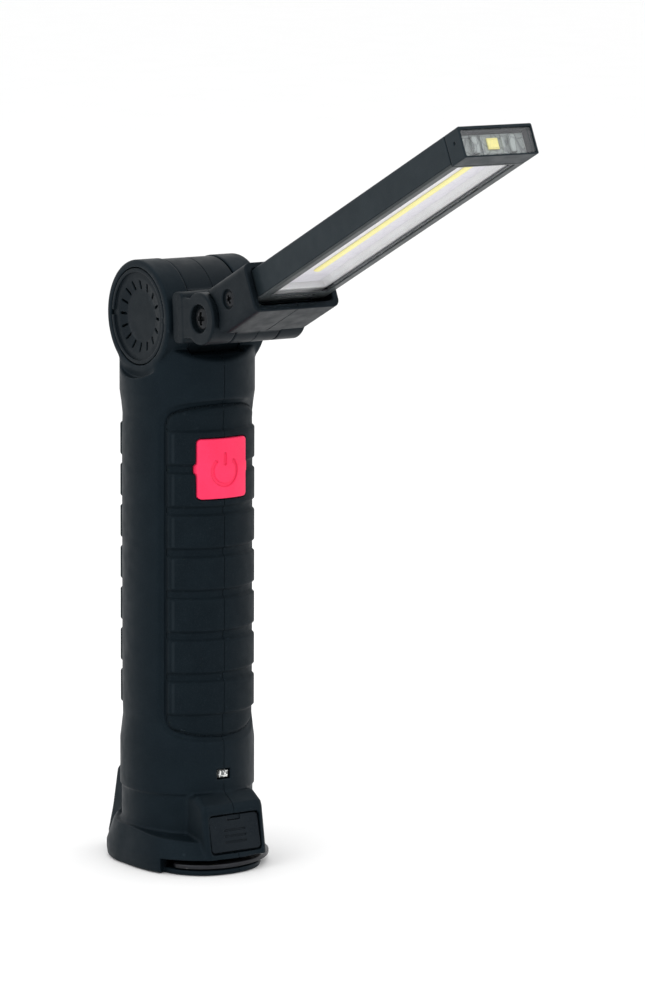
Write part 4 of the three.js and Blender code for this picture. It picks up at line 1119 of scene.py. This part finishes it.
def build_light_sources():
    """COB board and its phosphor line, and the torch's board, reflector features and LED."""

    def board(x, y, z):
        return block(x, y, z, (-8.6, 8.6), from_tip(11.6, 126), (-0.9, 0.1), 0.2)

    ys = along_bar(11.3, 126.3, (1, 0.15), 2, (1, 0.15))
    grid = (across_bar(8.9, 8, 0.15, 1.5), ys, lines((-1.1, 0.3, 0.12)))
    head_piece("cob_board", "_plate", board, grid, white_board)

    def strip(x, y, z):
        low, high = from_tip(12.6, 114.8)
        end_r = 1.6
        off = hypot(x, y - np.clip(y, low + end_r, high - end_r))
        dome = hypot(off, z - 0.6) - 2.35
        return both(both(off - end_r, dome, 0.1), slab(z, -1.7, -1.0), 0.1)

    ys = along_bar(12.2, 115.2, (2.4, 0.16), 1.6, (2.4, 0.16))
    grid = (lines((-1.9, 1.9, 0.16)), ys, lines((-1.95, -0.85, 0.12)))
    head_piece("cob_strip", "", strip, grid, yellow_phosphor_painted_glow)

    def torch_board(x, y, z):
        plate = block(x, y, z, (-13.2, 13.2), from_tip(4.1, 5.2), (-3.3, 4.4), 0.15)
        post = block(np.abs(x), y, z, (6.2, 8.6), from_tip(2.2, 4.6), (-2.6, 3.6), 0.5)
        rib = block(np.abs(x), y, z, (3.6, 4.6), from_tip(3.0, 4.6), (-2.9, 4.0), 0.3)
        shelf = block(x, y, z, (-5.4, 5.4), from_tip(3.9, 4.6), (-2.4, 3.8), 0.2)
        return any_of(plate, post, rib, shelf)

    low, high = from_tip(1.9, 5.5)
    grid = (lines((-13.5, 13.5, 0.22)), lines((low, high, 0.2)), lines((-3.6, 4.7, 0.2)))
    head_piece("torch_board", "_plate", torch_board, grid, torch_grey)

    def led(x, y, z):
        body = block(x, y, z, (-2.15, 2.15), from_tip(3, 3.8), (-1.15, 2.75), 0.25)
        return either(body, block(x, y, z, (-1.7, 1.7), from_tip(2.85, 3.4), (-0.75, 2.35), 0.3), 0.1)

    low, high = from_tip(2.6, 4.1)
    grid = (lines((-2.45, 2.45, 0.12)), lines((low, high, 0.12)), lines((-1.45, 3.05, 0.12)))
    head_piece("torch_led", "_chip", led, grid, yellow_phosphor_painted_glow)


# ---------- fasteners


def screw(node, body, place, head_r, head_high, shaft_r, start, end, cross, fine=0.14):
    """A cross-head screw along X in a given frame: its face is at start and its shaft ends at end.

    cross is half the width of the cross in the head.
    """
    inward = 1 if end > start else -1
    length = abs(end - start)

    def solid(x, y, z):
        run = inward * (x - start)
        r = hypot(y, z)
        crown_r = 2.4 * head_r
        dome = hypot(r, run - crown_r) - crown_r
        head = both(disc(r, run, head_r, -1, head_high, 0.25), dome, 0.1)
        shaft = disc(r, run, shaft_r, head_high - 0.3, length, 0.3)
        arm = 0.3 * cross
        taper = 0.35 * np.maximum(run, 0)
        wide = rounded(y, z, cross - taper, arm, 0.12)
        tall = rounded(y, z, arm, cross - taper, 0.12)
        core = r - 0.55 * cross + taper * 0.6
        recess = all_of(any_of(wide, tall, core), run - 0.75 * cross)
        return without(any_of(head, shaft), recess, 0.08)

    reach = head_r + 0.3
    flat = lines((-reach, reach, fine))
    depth = lines((-0.3, head_high + 0.5, fine), (head_high + 0.5, length + 0.4, 0.8))
    grid = (start + facing(inward, depth), flat, flat)
    moulded(node, "_cross", solid, grid, black_screw, body, place)


def build_screws():
    tilt = ARM_FRAME @ Matrix.Translation((0, -ARM_LENGTH, 0))
    screw("tilt_screw", "arm_body", tilt, 3.65, 1.5, 2.0, -18.9, 18.4, 2.5)
    middle = ARM_FRAME @ Matrix.Translation((0, ARM_SCREW_Y, 0))
    screw("arm_screw", "arm_body", middle, 2.6, 1.4, 1.4, 19.3, -10, 1.6)
    seat = HEAD_FRAME @ Matrix.Translation((0, *SOCKET_SCREW))
    for side, word in SIDES:
        screw("socket_screw_" + word, "head_body", seat, 2.65, 0.9, 1.4, 17.2 * side, 11.6 * side, 1.7)
    for (y, z, head), word in zip(SCREWS, ("upper", "lower", "rear")):
        place = Matrix.Translation((0, y, z))
        screw("shell_screw_" + word, "handle_body", place, 2.7, 1.6, 1.4, head - 0.2, -8, 1.6)


def finish_inner_pieces():
    """The pieces inside keep their CAD shape and get their own materials."""
    finishes = {
        zinc_steel: "fold_bolt fold_nut tilt_nut usb_socket hook_pivot_pin",
        nylon_washer: "fold_washer_left fold_washer_right tilt_washer_left tilt_washer_right",
        switch_plastic: "button_switch",
        green_board: "main_circuit_board charge_circuit_board",
        cell_can: "battery_cell",
    }
    for material, names in finishes.items():
        for name in names.split():
            for material_slot in frame["nodes"][name].material_slots:
                material_slot.material = material


# ---------- camera, light and floor


def build_camera():
    """The eye, 1.73 m from the light, a little above it and to its left."""
    azimuth, elevation = math.radians(-32.976), math.radians(9.411)
    yaw, pitch, roll = (math.radians(angle) for angle in (1.587, -0.603, 0.015))
    distance, aim = 1.73152, Vector((0, 0, 0.110))
    back = Vector((
        math.sin(azimuth) * math.cos(elevation),
        -math.cos(azimuth) * math.cos(elevation),
        math.sin(elevation),
    ))
    right = Vector((math.cos(azimuth), math.sin(azimuth), 0))
    look = Matrix((right, back.cross(right), back))
    fine = Matrix.Rotation(roll, 3, "Z") @ Matrix.Rotation(pitch, 3, "X") @ Matrix.Rotation(yaw, 3, "Y")
    data = bpy.data.cameras.new("camera")
    data.sensor_width = 36
    data.sensor_fit = "AUTO"
    data.lens = 175.74
    data.clip_start, data.clip_end = 0.05, 30
    camera = new_object("camera", data)
    camera.matrix_world = Matrix.Translation(aim + back * distance) @ (fine @ look).transposed().to_4x4()
    bpy.context.scene.camera = camera


def area_light(name, place, aim, size, power):
    """A soft white lamp that faces aim: metres and watts."""
    data = bpy.data.lights.new(name, "AREA")
    data.shape = "RECTANGLE"
    data.size, data.size_y = size
    data.energy = power
    lamp = new_object(name, data)
    place, aim = Vector(place), Vector(aim)
    lamp.location = place
    lamp.rotation_euler = (aim - place).to_track_quat("-Z", "Y").to_euler()


def build_studio():
    """A wide pale floor just under the light, an even sky and three soft lamps."""
    floor_data = bpy.data.meshes.new("floor")
    reach = 14.0
    level = -0.2 * MM
    corners = [(-reach, -reach), (reach, -reach), (reach, reach), (-reach, reach)]
    floor_data.from_pydata([(*corner, level) for corner in corners], [], [(0, 1, 2, 3)])
    floor = new_object("floor", floor_data)
    n = Nodes("pale_floor")
    n.feed("Base Color", n.mix(n.spread(n.noise(60, 2), 0, 1), (0.895,) * 3, (0.905,) * 3))
    n.feed("Roughness", 0.75)
    n.feed("Specular IOR Level", 0.1)
    floor_data.materials.append(n.material)

    world = bpy.data.worlds.new("studio")
    world.use_nodes = True
    sky = world.node_tree.nodes["Background"]
    sky.inputs["Color"].default_value = (1, 1, 1, 1)
    sky.inputs["Strength"].default_value = 1.1
    bpy.context.scene.world = world

    target = (0, -0.03, 0.12)  # in metres, like the rest of the studio
    area_light("left_bank", (-1.5, -0.5, 0.9), target, (1.0, 1.4), 7)
    area_light("front_bank", (0.5, -1.7, 1.1), target, (1.4, 0.9), 4)
    area_light("top_bank", (-0.1, 0.2, 1.8), target, (1.6, 1.6), 6)
    bpy.context.scene.view_settings.view_transform = "Standard"
    bpy.context.scene.view_settings.look = "None"


build_camera()
build_studio()
build_handle()
build_grips()
build_button()
build_port_cover()
build_hook()
build_barrel_caps()
build_base_fittings()
build_arm()
build_sockets()
build_bar()
build_end_cap()
build_lenses()
build_reflector()
build_light_sources()
build_screws()
finish_inner_pieces()
